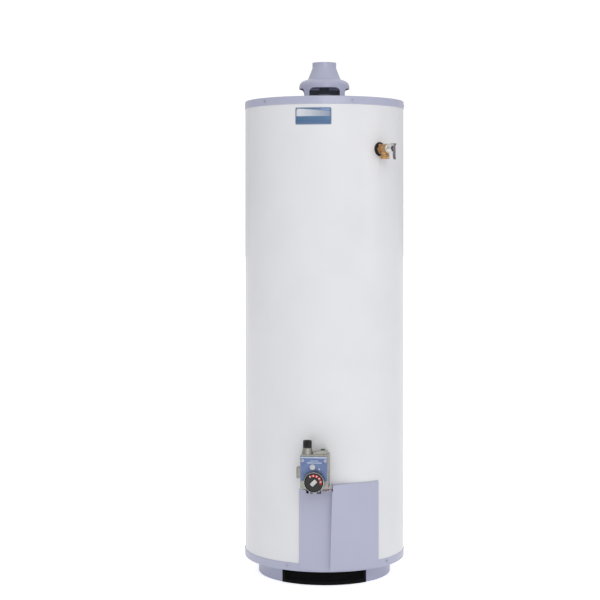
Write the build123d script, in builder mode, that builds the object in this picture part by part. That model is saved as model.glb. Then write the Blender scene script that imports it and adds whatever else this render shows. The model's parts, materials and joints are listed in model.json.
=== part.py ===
from build123d import *
import os
from math import asin, cos, degrees, hypot, radians, sin

os.makedirs("parts", exist_ok=True)

# A tall gas-fired tank water heater.  Millimetres, +Z up, origin on the floor under the
# centre of the tank.  The front, with the gas control, faces -Y.  Angles round the tank
# are measured from the front and grow towards +X.

# ---- driving dimensions ----
GAP = 0.3                      # running gap between pieces that move against each other
SEAM = 0.15                    # gap between pieces that are fastened together

JACKET_R = 254.0
JACKET_WALL = 1.0
PAN_WALL = 1.2
PAN_R = JACKET_R + SEAM + PAN_WALL
SKIRT_H = 25.0                 # turned edge of the top and bottom pans
FOOT_H = 50.0                  # height of the base ring
FOOT_R = 210.6
FOOT_FLANGE = 9.0
TOP_Z = 1503.5                 # upper face of the top pan

TANK_R = 228.5
TANK_WALL = 2.5
HEAD_WALL = 3.0
HEAD_R = TANK_R - TANK_WALL - SEAM
TOP_RIM_Z = 1395.0             # where the top head starts to curve
TOP_CROWN_Z = 1452.0
BOTTOM_RIM_Z = 300.0           # where the bottom head starts to curve
BOTTOM_CROWN_Z = 345.0
HEAD_FLANGE = 25.0

FLUE_R = 50.8
FLUE_WALL = 2.4
FLUE_STUB = 22.0               # flue above the top pan
BAFFLE_W = 60.0
BAFFLE_T = 1.5

HOOD_TOP_Z = 1629.0
HOOD_WALL = 1.2
COLLAR_R = 38.5                # 3 in vent pipe fits over it
COLLAR_H = 17.0
HOOD_NECK_R = 53.0
HOOD_NECK_Z = 1575.0
HOOD_RIM_R = 81.0
HOOD_RIM_Z = 1548.0
HOOD_WINDOW_W = 97.0
HOOD_FEET = (45, 135, 225, 315)

PIPE_R = 13.35                 # 3/4 in pipe thread, outside
PIPE_BORE_R = 9.5
NIPPLE_X = 101.6               # 8 in between the water connections
NIPPLE_TOP_Z = 1521.0
NIPPLE_STEP_Z = TOP_Z + 3       # full pipe size above the coloured ring

RELIEF_ANGLE = 41.3
RELIEF_Z = 1342.8
DRAIN_ANGLE = 135.0
DRAIN_Z = 330.0

VALVE_ANGLE = -6.4
VALVE_W = 84.0
VALVE_LOW_Z = 315.0
VALVE_HIGH_Z = 419.0
VALVE_BACK = 258.0             # distances of the control's faces from the tank axis
VALVE_FRONT = 325.0
COVER_FRONT = 329.0
SHANK_Z = 365.0
DIAL_R = 30.4
DIAL_Z = 339.0
DIAL_BACK = 332.0
DIAL_FRONT = 350.0
COCK_X = -23.0
COCK_REACH = 297.0
BUTTON_X = 25.0
BUTTON_REACH = 303.0

DOOR_LEFT, DOOR_RIGHT = -18.3, 39.6
DOOR_LOW_Z = 56.0
DOOR_HIGH_Z = 320.0
DOOR_SHOULDER_Z = 304.0        # upper edge beneath the gas control
DOOR_WALL = 1.3
DOOR_R = PAN_R + 1.0           # inner face of the curved left part
CREASE_X = 19.5

TUBE_REACH = 243.0             # tubes run down between the tank and the outer door
MAIN_TUBE_R = 4.75
PILOT_TUBE_R = 2.0
MAIN_TUBE_X = 8.0
PILOT_TUBE_X = -15.0
THERMO_TUBE_X = -27.0
BURNER_R = 90.0
BURNER_Z = 150.0
MANIFOLD_Z = 112.0
PILOT_Z = 158.0
THERMO_Z = 166.0
PILOT_REACH = 107.5

TOP_SCREWS = (-47.1, 18.4, 90.0, 162.0, -126.0)
INNER_DOOR_SCREWS = (-17.6, 12.0)
DOOR_PLATE_IN, DOOR_PLATE_OUT = TANK_R + 2.4, TANK_R + 3.9
BOTTOM_SCREWS = (-27.4, 48.6, 121.0, -167.0, -95.0)


def outward(angle, height=0.0, reach=0.0):
    """Plane that faces away from the tank: x to its right, y up, z outwards."""
    a = radians(angle)
    return Plane(
        origin=(reach * sin(a), -reach * cos(a), height),
        x_dir=(cos(a), sin(a), 0),
        z_dir=(sin(a), -cos(a), 0),
    )


def upright(angle=90.0):
    """Plane through the tank axis: x away from the axis, y up."""
    a = radians(angle)
    return Plane(origin=(0, 0, 0), x_dir=(sin(a), -cos(a), 0), z_dir=(-cos(a), -sin(a), 0))


def ring_sector(inner, outer, low, high, start=0.0, end=360.0, mode=Mode.ADD):
    """Part of an upright ring about the tank axis, between two angles."""
    with BuildSketch(upright(start)) as section:
        with Locations(((inner + outer) / 2, (low + high) / 2)):
            Rectangle(outer - inner, high - low)
    revolve(section.sketch, Axis.Z, end - start, mode=mode)


def peg(plane, radius, near, far, at=(0.0, 0.0), mode=Mode.ADD):
    """Round bar along a plane's normal, between two distances."""
    with BuildSketch(plane.offset(near)) as section:
        with Locations(at):
            Circle(radius)
    extrude(section.sketch, amount=far - near, mode=mode)


def hexagon(plane, across, near, far, at=(0.0, 0.0)):
    """Hexagonal bar along a plane's normal, measured across its flats."""
    with BuildSketch(plane.offset(near)) as section:
        with Locations(at):
            RegularPolygon(across / 2, 6, major_radius=False)
    extrude(section.sketch, amount=far - near)


def block(plane, width, height, near, far, at=(0.0, 0.0), round_r=0.0, mode=Mode.ADD):
    """Rectangular bar along a plane's normal, its long edges rounded if asked."""
    with BuildSketch(plane.offset(near)) as section:
        with Locations(at):
            if round_r:
                RectangleRounded(width, height, round_r)
            else:
                Rectangle(width, height)
    extrude(section.sketch, amount=far - near, mode=mode)


def tube(points, bends, radius, bore=0.0, mode=Mode.ADD):
    """Round tube along straight runs joined by arcs."""
    with BuildLine() as route:
        FilletPolyline(*points, radius=bends)
    start = Plane(origin=route.line @ 0, z_dir=route.line % 0)
    with BuildSketch(start) as section:
        Circle(radius)
        if bore:
            Circle(bore, mode=Mode.SUBTRACT)
    sweep(section.sketch, path=route.line, mode=mode)


def save(piece, label):
    """Name a finished piece and write it."""
    piece.part.label = label
    export_step(piece.part, f"parts/{label}.step")


valve_axis = outward(VALVE_ANGLE)
relief_axis = outward(RELIEF_ANGLE, RELIEF_Z)
drain_axis = outward(DRAIN_ANGLE, DRAIN_Z)


def hood_foot(angle):
    """Place of the screw in one of the hood's feet."""
    return 88 * sin(radians(angle)), -88 * cos(radians(angle))


def at_valve(x, height, reach):
    """Point given as right, up and outwards of the gas control."""
    return valve_axis.from_local_coords((x, height, reach))


# ================= stand and outer shell =================

with BuildPart() as base_ring:
    ring_sector(FOOT_R - 1.5, FOOT_R, 0, FOOT_H)
    for flange_low in (0, FOOT_H - 1.5):
        ring_sector(FOOT_R - FOOT_FLANGE, FOOT_R - 1.4, flange_low, flange_low + 1.5)
    ring_sector(FOOT_R - 3, FOOT_R + 1, 8, 42, -36.5, 34.5, mode=Mode.SUBTRACT)
save(base_ring, "base_ring")

SCREEN_IN, SCREEN_OUT = FOOT_R + SEAM, FOOT_R + 1.6
with BuildPart() as air_intake_screen:
    ring_sector(SCREEN_IN, SCREEN_OUT, 0.3, FOOT_H - 0.3, -38.8, 36.7)
    for column in range(24):
        middle = -34.0 + column * 2.87
        ring_sector(FOOT_R, FOOT_R + 3, 12, 38, middle - 0.7, middle + 0.7, mode=Mode.SUBTRACT)
save(air_intake_screen, "air_intake_screen")

PAN_FLOOR = FOOT_H + SEAM
with BuildPart() as bottom_pan:
    ring_sector(76, PAN_R, PAN_FLOOR, PAN_FLOOR + PAN_WALL)
    ring_sector(PAN_R - PAN_WALL, PAN_R, PAN_FLOOR, FOOT_H + SKIRT_H)
    for angle in BOTTOM_SCREWS:
        peg(outward(angle, FOOT_H + 14), 2.2, PAN_R - 4, PAN_R + 2, mode=Mode.SUBTRACT)
    fillet(bottom_pan.edges().filter_by(GeomType.CIRCLE).filter_by(
        lambda e: abs(e.radius - PAN_R) < 0.01 and e.center().Z < PAN_FLOOR + 0.1), 1.0)
save(bottom_pan, "bottom_pan")

TANK_FLOOR = PAN_FLOOR + PAN_WALL + SEAM
with BuildPart() as flame_arrestor:
    ring_sector(0.01, 88, TANK_FLOOR, TANK_FLOOR + 6)
    with BuildSketch(Plane.XY.offset(TANK_FLOOR - 1)) as flame_slots:
        with GridLocations(14, 5, 9, 22):
            Rectangle(10, 1.6)
    extrude(flame_slots.sketch, amount=9, mode=Mode.SUBTRACT)
save(flame_arrestor, "flame_arrestor")

door_hole = (-16.8, 36.0, FOOT_H + SKIRT_H + 5, 303.5)
with BuildPart() as jacket:
    ring_sector(JACKET_R - JACKET_WALL, JACKET_R, TANK_FLOOR, TOP_Z - PAN_WALL - SEAM)
    ring_sector(JACKET_R - 3, JACKET_R + 2, door_hole[2], door_hole[3],
                door_hole[0], door_hole[1], mode=Mode.SUBTRACT)
    peg(outward(VALVE_ANGLE, SHANK_Z), 32, 200, 270, mode=Mode.SUBTRACT)
    peg(relief_axis, 21.8, 200, 270, mode=Mode.SUBTRACT)
    peg(drain_axis, 21.8, 200, 270, mode=Mode.SUBTRACT)
    for angle in TOP_SCREWS:
        peg(outward(angle, TOP_Z - 12.5), 2.2, 240, 270, mode=Mode.SUBTRACT)
    for angle in BOTTOM_SCREWS:
        peg(outward(angle, FOOT_H + 14), 2.2, 240, 270, mode=Mode.SUBTRACT)
save(jacket, "jacket")

ANODE_Y = 118.0
with BuildPart() as top_pan:
    with BuildSketch(upright()) as pan_half:
        with BuildLine():
            Polyline((0, TOP_Z - PAN_WALL), (PAN_R - PAN_WALL, TOP_Z - PAN_WALL),
                     (PAN_R - PAN_WALL, TOP_Z - SKIRT_H), (PAN_R, TOP_Z - SKIRT_H),
                     (PAN_R, TOP_Z), (0, TOP_Z), close=True)
        make_face()
    revolve(pan_half.sketch, Axis.Z)
    fillet(top_pan.edges().filter_by(GeomType.CIRCLE).filter_by(
        lambda e: abs(e.radius - PAN_R) < 0.01 and e.center().Z > TOP_Z - 0.1), 1.0)
    with BuildSketch(Plane.XY.offset(TOP_Z - 5)) as pan_holes:
        Circle(FLUE_R + 1)
        with Locations((-NIPPLE_X, 0), (NIPPLE_X, 0)):
            Circle(PIPE_R + 1.5)
        with Locations((0, ANODE_Y)):
            Circle(22)
    extrude(pan_holes.sketch, amount=10, mode=Mode.SUBTRACT)
    for angle in HOOD_FEET:
        peg(Plane.XY, 2.2, TOP_Z - 5, TOP_Z + 5, hood_foot(angle), mode=Mode.SUBTRACT)
    for angle in TOP_SCREWS:
        peg(outward(angle, TOP_Z - 12.5), 2.2, PAN_R - 4, PAN_R + 2, mode=Mode.SUBTRACT)
save(top_pan, "top_pan")


def skirt_screws(angles, height):
    """Sheet metal screws through a pan's skirt, with low round heads."""
    for angle in angles:
        plane = outward(angle, height)
        peg(plane, 4.2, PAN_R + SEAM, PAN_R + 1.9)
        peg(plane, 2.0, JACKET_R - 8, PAN_R + SEAM)


with BuildPart() as sheet_metal_screws:
    skirt_screws(TOP_SCREWS, TOP_Z - 12.5)
    skirt_screws(BOTTOM_SCREWS, FOOT_H + 14)
    for angle in HOOD_FEET:
        head_low = TOP_Z + 2 * SEAM + HOOD_WALL
        peg(Plane.XY, 4.0, head_low, head_low + 2, hood_foot(angle))
        peg(Plane.XY, 2.0, TOP_Z - PAN_WALL - 0.6, head_low, hood_foot(angle))
    for angle in INNER_DOOR_SCREWS:
        hexagon(outward(angle, 158), 8, DOOR_PLATE_OUT + SEAM, DOOR_PLATE_OUT + 5)
        peg(outward(angle, 158), 2.4, TANK_R + SEAM, DOOR_PLATE_OUT + SEAM)
save(sheet_metal_screws, "sheet_metal_screws")

# ================= tank, flue and insulation =================

with BuildPart() as tank_shell:
    ring_sector(TANK_R - TANK_WALL, TANK_R, TANK_FLOOR, TOP_RIM_Z - 8)
    ring_sector(TANK_R - 6, TANK_R + 3, 85, 230, -15.3, 9, mode=Mode.SUBTRACT)
    peg(relief_axis, 17.2, 200, 240, mode=Mode.SUBTRACT)
    peg(drain_axis, 17.2, 200, 240, mode=Mode.SUBTRACT)
    peg(outward(VALVE_ANGLE, SHANK_Z), 17.2, 200, 240, mode=Mode.SUBTRACT)
save(tank_shell, "tank_shell")


def head(rim_z, crown_z):
    """Dished steel head with a flange that fits inside the shell and a hole for the flue."""
    flue_r = FLUE_R + SEAM
    middle_r = 0.62 * HEAD_R
    middle_z = rim_z + 0.72 * (crown_z - rim_z)
    with BuildSketch(upright()) as half:
        with BuildLine():
            ThreePointArc((HEAD_R, rim_z), (middle_r, middle_z), (flue_r, crown_z))
            Line((flue_r, crown_z), (flue_r, crown_z - HEAD_WALL))
            ThreePointArc((flue_r, crown_z - HEAD_WALL), (middle_r, middle_z - HEAD_WALL - 0.4),
                          (HEAD_R - HEAD_WALL, rim_z - 1.2))
            Polyline((HEAD_R - HEAD_WALL, rim_z - 1.2), (HEAD_R - HEAD_WALL, rim_z - HEAD_FLANGE),
                     (HEAD_R, rim_z - HEAD_FLANGE), (HEAD_R, rim_z))
        make_face()
    revolve(half.sketch, Axis.Z)


with BuildPart() as tank_top_head:
    head(TOP_RIM_Z, TOP_CROWN_Z)
    for x, y in ((-NIPPLE_X, 0), (NIPPLE_X, 0), (0, ANODE_Y)):
        peg(Plane.XY, 17.2, 1350, 1480, (x, y), mode=Mode.SUBTRACT)
save(tank_top_head, "tank_top_head")

with BuildPart() as tank_bottom_head:
    head(BOTTOM_RIM_Z, BOTTOM_CROWN_Z)
save(tank_bottom_head, "tank_bottom_head")

with BuildPart() as flue_tube:
    ring_sector(FLUE_R - FLUE_WALL, FLUE_R, BOTTOM_CROWN_Z - 16, TOP_Z + FLUE_STUB)
save(flue_tube, "flue_tube")

BAFFLE_BENDS = 15
BAFFLE_PITCH = 68.0
EAR_H = 15.0                   # side ears that rest on the flue's rim
with BuildPart() as flue_baffle:
    swing = [(16.0 if n % 2 else -16.0, TOP_Z - 6 - n * BAFFLE_PITCH) for n in range(1, BAFFLE_BENDS)]
    with BuildSketch(Plane.YZ.offset(-BAFFLE_W / 2)) as zigzag:
        with BuildLine():
            fold = Polyline((0, TOP_Z - 6), *swing)
            offset(fold, BAFFLE_T / 2, side=Side.BOTH, kind=Kind.INTERSECTION)
        make_face()
    extrude(zigzag.sketch, amount=BAFFLE_W)
    block(Plane.XZ, 31, 54, -BAFFLE_T / 2, BAFFLE_T / 2, (0, TOP_Z + 19))
    block(Plane.XZ, 2 * FLUE_R - 2, EAR_H, -BAFFLE_T / 2, BAFFLE_T / 2,
          (0, TOP_Z + FLUE_STUB + 0.3 + EAR_H / 2))
save(flue_baffle, "flue_baffle")

SPUD_R, SPUD_BORE_R = 17.0, PIPE_R + SEAM
BOSS_TOP_Z = 1448.0
with BuildPart() as tank_spuds:
    for plane in (relief_axis, drain_axis, outward(VALVE_ANGLE, SHANK_Z)):
        peg(plane, SPUD_R, TANK_R - 12, TANK_R + 4)
        peg(plane, SPUD_BORE_R, TANK_R - 13, TANK_R + 5, mode=Mode.SUBTRACT)
    for x, y in ((-NIPPLE_X, 0), (NIPPLE_X, 0), (0, ANODE_Y)):
        peg(Plane.XY, SPUD_R, BOSS_TOP_Z - 24, BOSS_TOP_Z, (x, y))
        peg(Plane.XY, SPUD_BORE_R, BOSS_TOP_Z - 25, BOSS_TOP_Z + 1, (x, y), mode=Mode.SUBTRACT)
save(tank_spuds, "tank_spuds")


def nipple_ring(x):
    """Coloured plastic ring that marks a water connection on the top pan."""
    peg(Plane.XY, 21, TOP_Z + SEAM, TOP_Z + 2.4, (x, 0))
    peg(Plane.XY, PIPE_R + GAP, TOP_Z, TOP_Z + 3, (x, 0), mode=Mode.SUBTRACT)


with BuildPart() as water_nipples:
    for x in (-NIPPLE_X, NIPPLE_X):
        peg(Plane.XY, PIPE_R - 0.2, BOSS_TOP_Z - 24, NIPPLE_STEP_Z, (x, 0))
        peg(Plane.XY, PIPE_R, NIPPLE_STEP_Z, NIPPLE_TOP_Z, (x, 0))
        peg(Plane.XY, PIPE_BORE_R, BOSS_TOP_Z - 25, NIPPLE_TOP_Z + 1, (x, 0), mode=Mode.SUBTRACT)
save(water_nipples, "water_nipples")

with BuildPart() as cold_ring:
    nipple_ring(NIPPLE_X)
save(cold_ring, "cold_ring")

with BuildPart() as hot_ring:
    nipple_ring(-NIPPLE_X)
save(hot_ring, "hot_ring")

DIP_LENGTH = 1010.0
with BuildPart() as dip_tube:
    peg(Plane.XY, PIPE_BORE_R - SEAM, BOSS_TOP_Z - DIP_LENGTH, BOSS_TOP_Z + 30, (NIPPLE_X, 0))
    peg(Plane.XY, PIPE_BORE_R - 1.6, BOSS_TOP_Z - DIP_LENGTH - 1, BOSS_TOP_Z + 31, (NIPPLE_X, 0),
        mode=Mode.SUBTRACT)
save(dip_tube, "dip_tube")

with BuildPart() as anode_rod:
    peg(Plane.XY, PIPE_R, BOSS_TOP_Z - 24, BOSS_TOP_Z + 1, (0, ANODE_Y))
    hexagon(Plane.XY, 27, BOSS_TOP_Z + 1, BOSS_TOP_Z + 18, (0, ANODE_Y))
    peg(Plane.XY, 10.7, BOSS_TOP_Z - 1050, BOSS_TOP_Z - 24, (0, ANODE_Y))
save(anode_rod, "anode_rod")

with BuildPart() as anode_plug:
    peg(Plane.XY, 24, TOP_Z + SEAM, TOP_Z + 2.5, (0, ANODE_Y))
    peg(Plane.XY, 21.7, TOP_Z - 7, TOP_Z + SEAM, (0, ANODE_Y))
    fillet(anode_plug.edges().sort_by(Axis.Z)[-1], 1.2)
save(anode_plug, "anode_plug")

FOAM_IN, FOAM_OUT = TANK_R + SEAM, JACKET_R - JACKET_WALL - SEAM
FOAM_LOW_Z = 302.0
with BuildPart() as foam_insulation:
    with BuildSketch(upright()) as foam_half:
        with BuildLine():
            Polyline((FOAM_IN, TOP_RIM_Z + 1), (FOAM_IN, FOAM_LOW_Z), (FOAM_OUT, FOAM_LOW_Z),
                     (FOAM_OUT, TOP_Z - PAN_WALL - 1), (FLUE_R + 1.5, TOP_Z - PAN_WALL - 1),
                     (FLUE_R + 1.5, TOP_CROWN_Z + 2))
            ThreePointArc((FLUE_R + 1.5, TOP_CROWN_Z + 2),
                          (0.62 * HEAD_R, TOP_RIM_Z + 0.72 * (TOP_CROWN_Z - TOP_RIM_Z) + 2),
                          (FOAM_IN, TOP_RIM_Z + 1))
        make_face()
    revolve(foam_half.sketch, Axis.Z)
    for x, y, r in ((-NIPPLE_X, 0, 17.4), (NIPPLE_X, 0, 17.4), (0, ANODE_Y, 22.0)):
        peg(Plane.XY, r, 1380, TOP_Z, (x, y), mode=Mode.SUBTRACT)
    peg(outward(VALVE_ANGLE, SHANK_Z), 32, 200, 270, mode=Mode.SUBTRACT)
    peg(relief_axis, 21.8, 200, 270, mode=Mode.SUBTRACT)
    peg(drain_axis, 21.8, 200, 270, mode=Mode.SUBTRACT)
    for angle in TOP_SCREWS:
        peg(outward(angle, TOP_Z - 12.5), 3, 240, 270, mode=Mode.SUBTRACT)
save(foam_insulation, "foam_insulation")

with BuildPart() as chamber_blanket:
    ring_sector(FOAM_IN, FOAM_OUT, TANK_FLOOR, FOAM_LOW_Z - 1, 40, 339)
    for angle in BOTTOM_SCREWS:
        peg(outward(angle, FOOT_H + 14), 3, 240, 270, mode=Mode.SUBTRACT)
save(chamber_blanket, "chamber_blanket")

# ================= draft hood =================


def hood_profile(inset):
    """Half outline of the hood, drawn a given distance inside its outer skin."""
    collar_r, neck_r, rim_r = COLLAR_R - inset, HOOD_NECK_R - inset, HOOD_RIM_R - inset
    foot_z = TOP_Z + SEAM
    with BuildSketch(upright()) as half:
        with BuildLine():
            Polyline((0, foot_z - inset), (0, HOOD_TOP_Z + inset), (collar_r, HOOD_TOP_Z + inset),
                     (collar_r, HOOD_TOP_Z - COLLAR_H), (neck_r, HOOD_NECK_Z - 0.4 * inset))
            ThreePointArc((neck_r, HOOD_NECK_Z - 0.4 * inset),
                          (73.5 - 0.75 * inset, 1567.5 - 0.7 * inset), (rim_r, HOOD_RIM_Z))
            Polyline((rim_r, HOOD_RIM_Z), (rim_r, foot_z - inset), (0, foot_z - inset))
        make_face()
    return half.sketch


HOOD_WINDOW_Z = 1544.5
with BuildPart() as draft_hood:
    revolve(hood_profile(0), Axis.Z)
    revolve(hood_profile(HOOD_WALL), Axis.Z, mode=Mode.SUBTRACT)
    for plane in (Plane.XZ, Plane.YZ):
        with BuildSketch(plane.offset(-120)) as window:
            with Locations((0, (TOP_Z + HOOD_WINDOW_Z) / 2 - 10)):
                RectangleRounded(HOOD_WINDOW_W, HOOD_WINDOW_Z - TOP_Z + 20, 9)
        extrude(window.sketch, amount=240, mode=Mode.SUBTRACT)
    for angle in HOOD_FEET:
        block(outward(angle, TOP_Z + SEAM + HOOD_WALL / 2), 15, HOOD_WALL, 80, 94)
        peg(Plane.XY, 2.3, TOP_Z, TOP_Z + 3, hood_foot(angle), mode=Mode.SUBTRACT)
save(draft_hood, "draft_hood")

# ================= temperature and pressure relief valve =================

NECK_NEAR = TANK_R - 12
BODY_FAR = 293.0
BONNET_FAR = 313.0
LEVER_NEAR = 314.0
HEX_NEAR, HEX_FAR = 257.0, 268.5
SEAT_NEAR, SEAT_FAR = 271.0, 275.0
LEVER_W = 11.0
OUTLET_REACH = 277.0
OUTLET_DROP = 31.0
OUTLET_BORE_R = 11.7
OUTLET_R = 14.2
STEM_R = 2.5
PIN_R, PIN_REACH, PIN_UP = 1.5, 317.0, 12.0
relief_outlet = Plane(origin=relief_axis.from_local_coords((0, 0, OUTLET_REACH)),
                      x_dir=relief_axis.x_dir, z_dir=(0, 0, -1))

with BuildPart() as relief_valve_body:
    peg(relief_axis, PIPE_R, NECK_NEAR, HEX_NEAR + 1)
    hexagon(relief_axis, 31, HEX_NEAR, HEX_FAR)
    peg(relief_axis, 15.5, HEX_FAR - 1, BODY_FAR)
    peg(relief_outlet, OUTLET_R, 0, OUTLET_DROP)
    peg(relief_outlet, OUTLET_BORE_R + 1.2, OUTLET_DROP - 1, OUTLET_DROP, mode=Mode.SUBTRACT)
    peg(relief_outlet, OUTLET_BORE_R, 10.5, OUTLET_DROP + 1, mode=Mode.SUBTRACT)
    peg(relief_axis, 9.0, NECK_NEAR - 1, SEAT_NEAR + 1, mode=Mode.SUBTRACT)
    peg(relief_axis, 7.0, SEAT_NEAR, SEAT_FAR + 1, mode=Mode.SUBTRACT)
    peg(relief_axis, 12.5, SEAT_FAR, BODY_FAR + 1, mode=Mode.SUBTRACT)
save(relief_valve_body, "relief_valve_body")

with BuildPart() as relief_probe:
    peg(relief_axis, 4.0, 122, NECK_NEAR + 22)
    peg(relief_axis, 8.8, NECK_NEAR + 22, NECK_NEAR + 25)
    for angle in (0, 120, 240):
        spot = (6.2 * cos(radians(angle)), 6.2 * sin(radians(angle)))
        peg(relief_axis, 1.6, NECK_NEAR + 21, NECK_NEAR + 26, spot, mode=Mode.SUBTRACT)
save(relief_probe, "relief_probe")

DISC_NEAR = SEAT_FAR + SEAM
with BuildPart() as relief_stem:
    peg(relief_axis, 10.5, DISC_NEAR, DISC_NEAR + 3)
    peg(relief_axis, STEM_R, DISC_NEAR + 2, LEVER_NEAR - 0.5)
save(relief_stem, "relief_stem")

SPRING_NEAR = DISC_NEAR + 3 + GAP
SPRING_FAR = BONNET_FAR - 3.5
with BuildPart() as relief_spring:
    with BuildLine() as coil:
        Helix(5.2, SPRING_FAR - SPRING_NEAR - 3.0, 6.8)
    coil_start = Plane(origin=coil.line @ 0, z_dir=coil.line % 0)
    with BuildSketch(coil_start) as wire:
        Circle(0.9)
    sweep(wire.sketch, path=coil.line)
relief_spring.part = relief_axis.offset(SPRING_NEAR + 1.4) * relief_spring.part
save(relief_spring, "relief_spring")

with BuildPart() as relief_bonnet:
    with BuildSketch(relief_axis.offset(BODY_FAR + SEAM)) as bonnet_base:
        Circle(15.5)
    extrude(bonnet_base.sketch, amount=11)
    with BuildSketch(relief_axis.offset(BODY_FAR + SEAM + 11)) as bonnet_low:
        Circle(14.6)
    with BuildSketch(relief_axis.offset(BONNET_FAR)) as bonnet_high:
        Circle(9.5)
    loft([bonnet_low.sketch, bonnet_high.sketch])
    peg(relief_axis, 12.5, BODY_FAR, SPRING_FAR, mode=Mode.SUBTRACT)
    peg(relief_axis, STEM_R + 0.05, SPRING_FAR - 1, BONNET_FAR + 1, mode=Mode.SUBTRACT)
    for side in (-1, 1):
        ear = Plane(origin=relief_axis.from_local_coords((side * 6.0, 0, 0)),
                    x_dir=relief_axis.z_dir, z_dir=relief_axis.x_dir)
        block(ear, 14, 9, -1.2, 1.2, (PIN_REACH - 3.5, -PIN_UP), 2.0)
        peg(ear, PIN_R + 0.02, -2, 2, (PIN_REACH, -PIN_UP), mode=Mode.SUBTRACT)
save(relief_bonnet, "relief_bonnet")

pin_plane = Plane(origin=relief_axis.origin, x_dir=relief_axis.z_dir, z_dir=relief_axis.x_dir)
with BuildPart() as relief_lever_pin:
    peg(pin_plane, PIN_R, -8, 8, (PIN_REACH, -PIN_UP))
    peg(pin_plane, 2.3, -8.8, -7.5, (PIN_REACH, -PIN_UP))
    peg(pin_plane, 2.3, 7.5, 8.8, (PIN_REACH, -PIN_UP))
save(relief_lever_pin, "relief_lever_pin")

LEVER_DROP = 34.0
with BuildPart() as relief_lever:
    peg(pin_plane, 3.2, -4.5, 4.5, (PIN_REACH, -PIN_UP))
    block(pin_plane, 2.6, PIN_UP + 2, -4.5, 4.5, (PIN_REACH, 1 - PIN_UP / 2 - 1))
    with BuildSketch(pin_plane.offset(-LEVER_W / 2)) as lever_side:
        with BuildLine():
            Polyline((PIN_REACH - 1.3, -5), (PIN_REACH + 1.3, -5), (PIN_REACH + 1.3, 22))
            ThreePointArc((PIN_REACH + 1.3, 22), (PIN_REACH + 2.0, 29), (PIN_REACH + 4.0, LEVER_DROP))
            Line((PIN_REACH + 4.0, LEVER_DROP), (PIN_REACH + 1.5, LEVER_DROP))
            ThreePointArc((PIN_REACH + 1.5, LEVER_DROP), (PIN_REACH - 0.7, 29), (PIN_REACH - 1.3, 22))
            Line((PIN_REACH - 1.3, 22), (PIN_REACH - 1.3, -5))
        make_face()
    extrude(lever_side.sketch, amount=LEVER_W)
    peg(pin_plane, PIN_R + 0.06, -5, 5, (PIN_REACH, -PIN_UP), mode=Mode.SUBTRACT)
save(relief_lever, "relief_lever")

# ================= drain valve =================

DRAIN_SPOUT_REACH = 286.0
DRAIN_SPOUT_DROP = 40.0
DRAIN_COLLAR_DROP = 18.0
DRAIN_SEAT = 277.0
DRAIN_BARREL_FAR = 302.0
DRAIN_STEM_R = 3.2
WHEEL_R = 22.0
drain_spout = Plane(origin=drain_axis.from_local_coords((0, 0, DRAIN_SPOUT_REACH)),
                    x_dir=drain_axis.x_dir, z_dir=(0, 0, -1))

with BuildPart() as drain_valve_body:
    peg(drain_axis, PIPE_R, NECK_NEAR, 262)
    hexagon(drain_axis, 30, 261, 270)
    peg(drain_axis, 14.5, 269, DRAIN_BARREL_FAR)
    peg(drain_spout, PIPE_R, 0, DRAIN_SPOUT_DROP)
    peg(drain_spout, PIPE_R + 1.1, 0, DRAIN_COLLAR_DROP)
    peg(drain_spout, 8.5, 0, DRAIN_SPOUT_DROP + 1, mode=Mode.SUBTRACT)
    peg(drain_axis, 7.0, NECK_NEAR - 1, DRAIN_SEAT + 1, mode=Mode.SUBTRACT)
    peg(drain_axis, 11.0, DRAIN_SEAT, DRAIN_BARREL_FAR + 1, mode=Mode.SUBTRACT)
save(drain_valve_body, "drain_valve_body")

with BuildPart() as drain_bonnet:
    peg(drain_axis, 10.9, DRAIN_BARREL_FAR - 6, DRAIN_BARREL_FAR)
    hexagon(drain_axis, 26, DRAIN_BARREL_FAR + SEAM, DRAIN_BARREL_FAR + 7)
    peg(drain_axis, 10.9, DRAIN_BARREL_FAR - 0.1, DRAIN_BARREL_FAR + 0.3)
    peg(drain_axis, DRAIN_STEM_R + 0.06, DRAIN_BARREL_FAR - 7, DRAIN_BARREL_FAR + 8,
        mode=Mode.SUBTRACT)
save(drain_bonnet, "drain_bonnet")

with BuildPart() as drain_washer:
    peg(drain_axis, 9.5, DRAIN_SEAT + 0.1, DRAIN_SEAT + 4)
    peg(drain_axis, 1.6, DRAIN_SEAT, DRAIN_SEAT + 5, mode=Mode.SUBTRACT)
save(drain_washer, "drain_washer")

with BuildPart() as drain_stem:
    peg(drain_axis, 8.0, DRAIN_SEAT + 4 + GAP, DRAIN_SEAT + 8)
    peg(drain_axis, DRAIN_STEM_R, DRAIN_SEAT + 7, 324)
save(drain_stem, "drain_stem")

with BuildPart() as drain_handle:
    peg(drain_axis, WHEEL_R, 314, 321)
    with BuildSketch(drain_axis.offset(313)) as wheel_grips:
        with PolarLocations(WHEEL_R + 3.2, 8):
            Circle(5.5)
    extrude(wheel_grips.sketch, amount=9, mode=Mode.SUBTRACT)
    peg(drain_axis, 7.5, 311, 324)
    peg(drain_axis, DRAIN_STEM_R + 0.02, 310, 325, mode=Mode.SUBTRACT)
save(drain_handle, "drain_handle")

# ================= gas control =================

BODY_MID_Z = (VALVE_LOW_Z + VALVE_HIGH_Z) / 2
valve_up = Plane(origin=(0, 0, 0), x_dir=valve_axis.x_dir, z_dir=(0, 0, 1))
valve_left = Plane(origin=(0, 0, 0), x_dir=valve_axis.z_dir, z_dir=-valve_axis.x_dir)
BUTTON_R = 7.0
BUTTON_TOP_Z = VALVE_HIGH_Z + 15.0
COCK_LOW_Z, COCK_HIGH_Z = 436.5, 459.0
INLET_REACH, INLET_Z = 295.0, 361.0
INLET_BORE_R = 10.6
DIAL_X = 1.0

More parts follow.
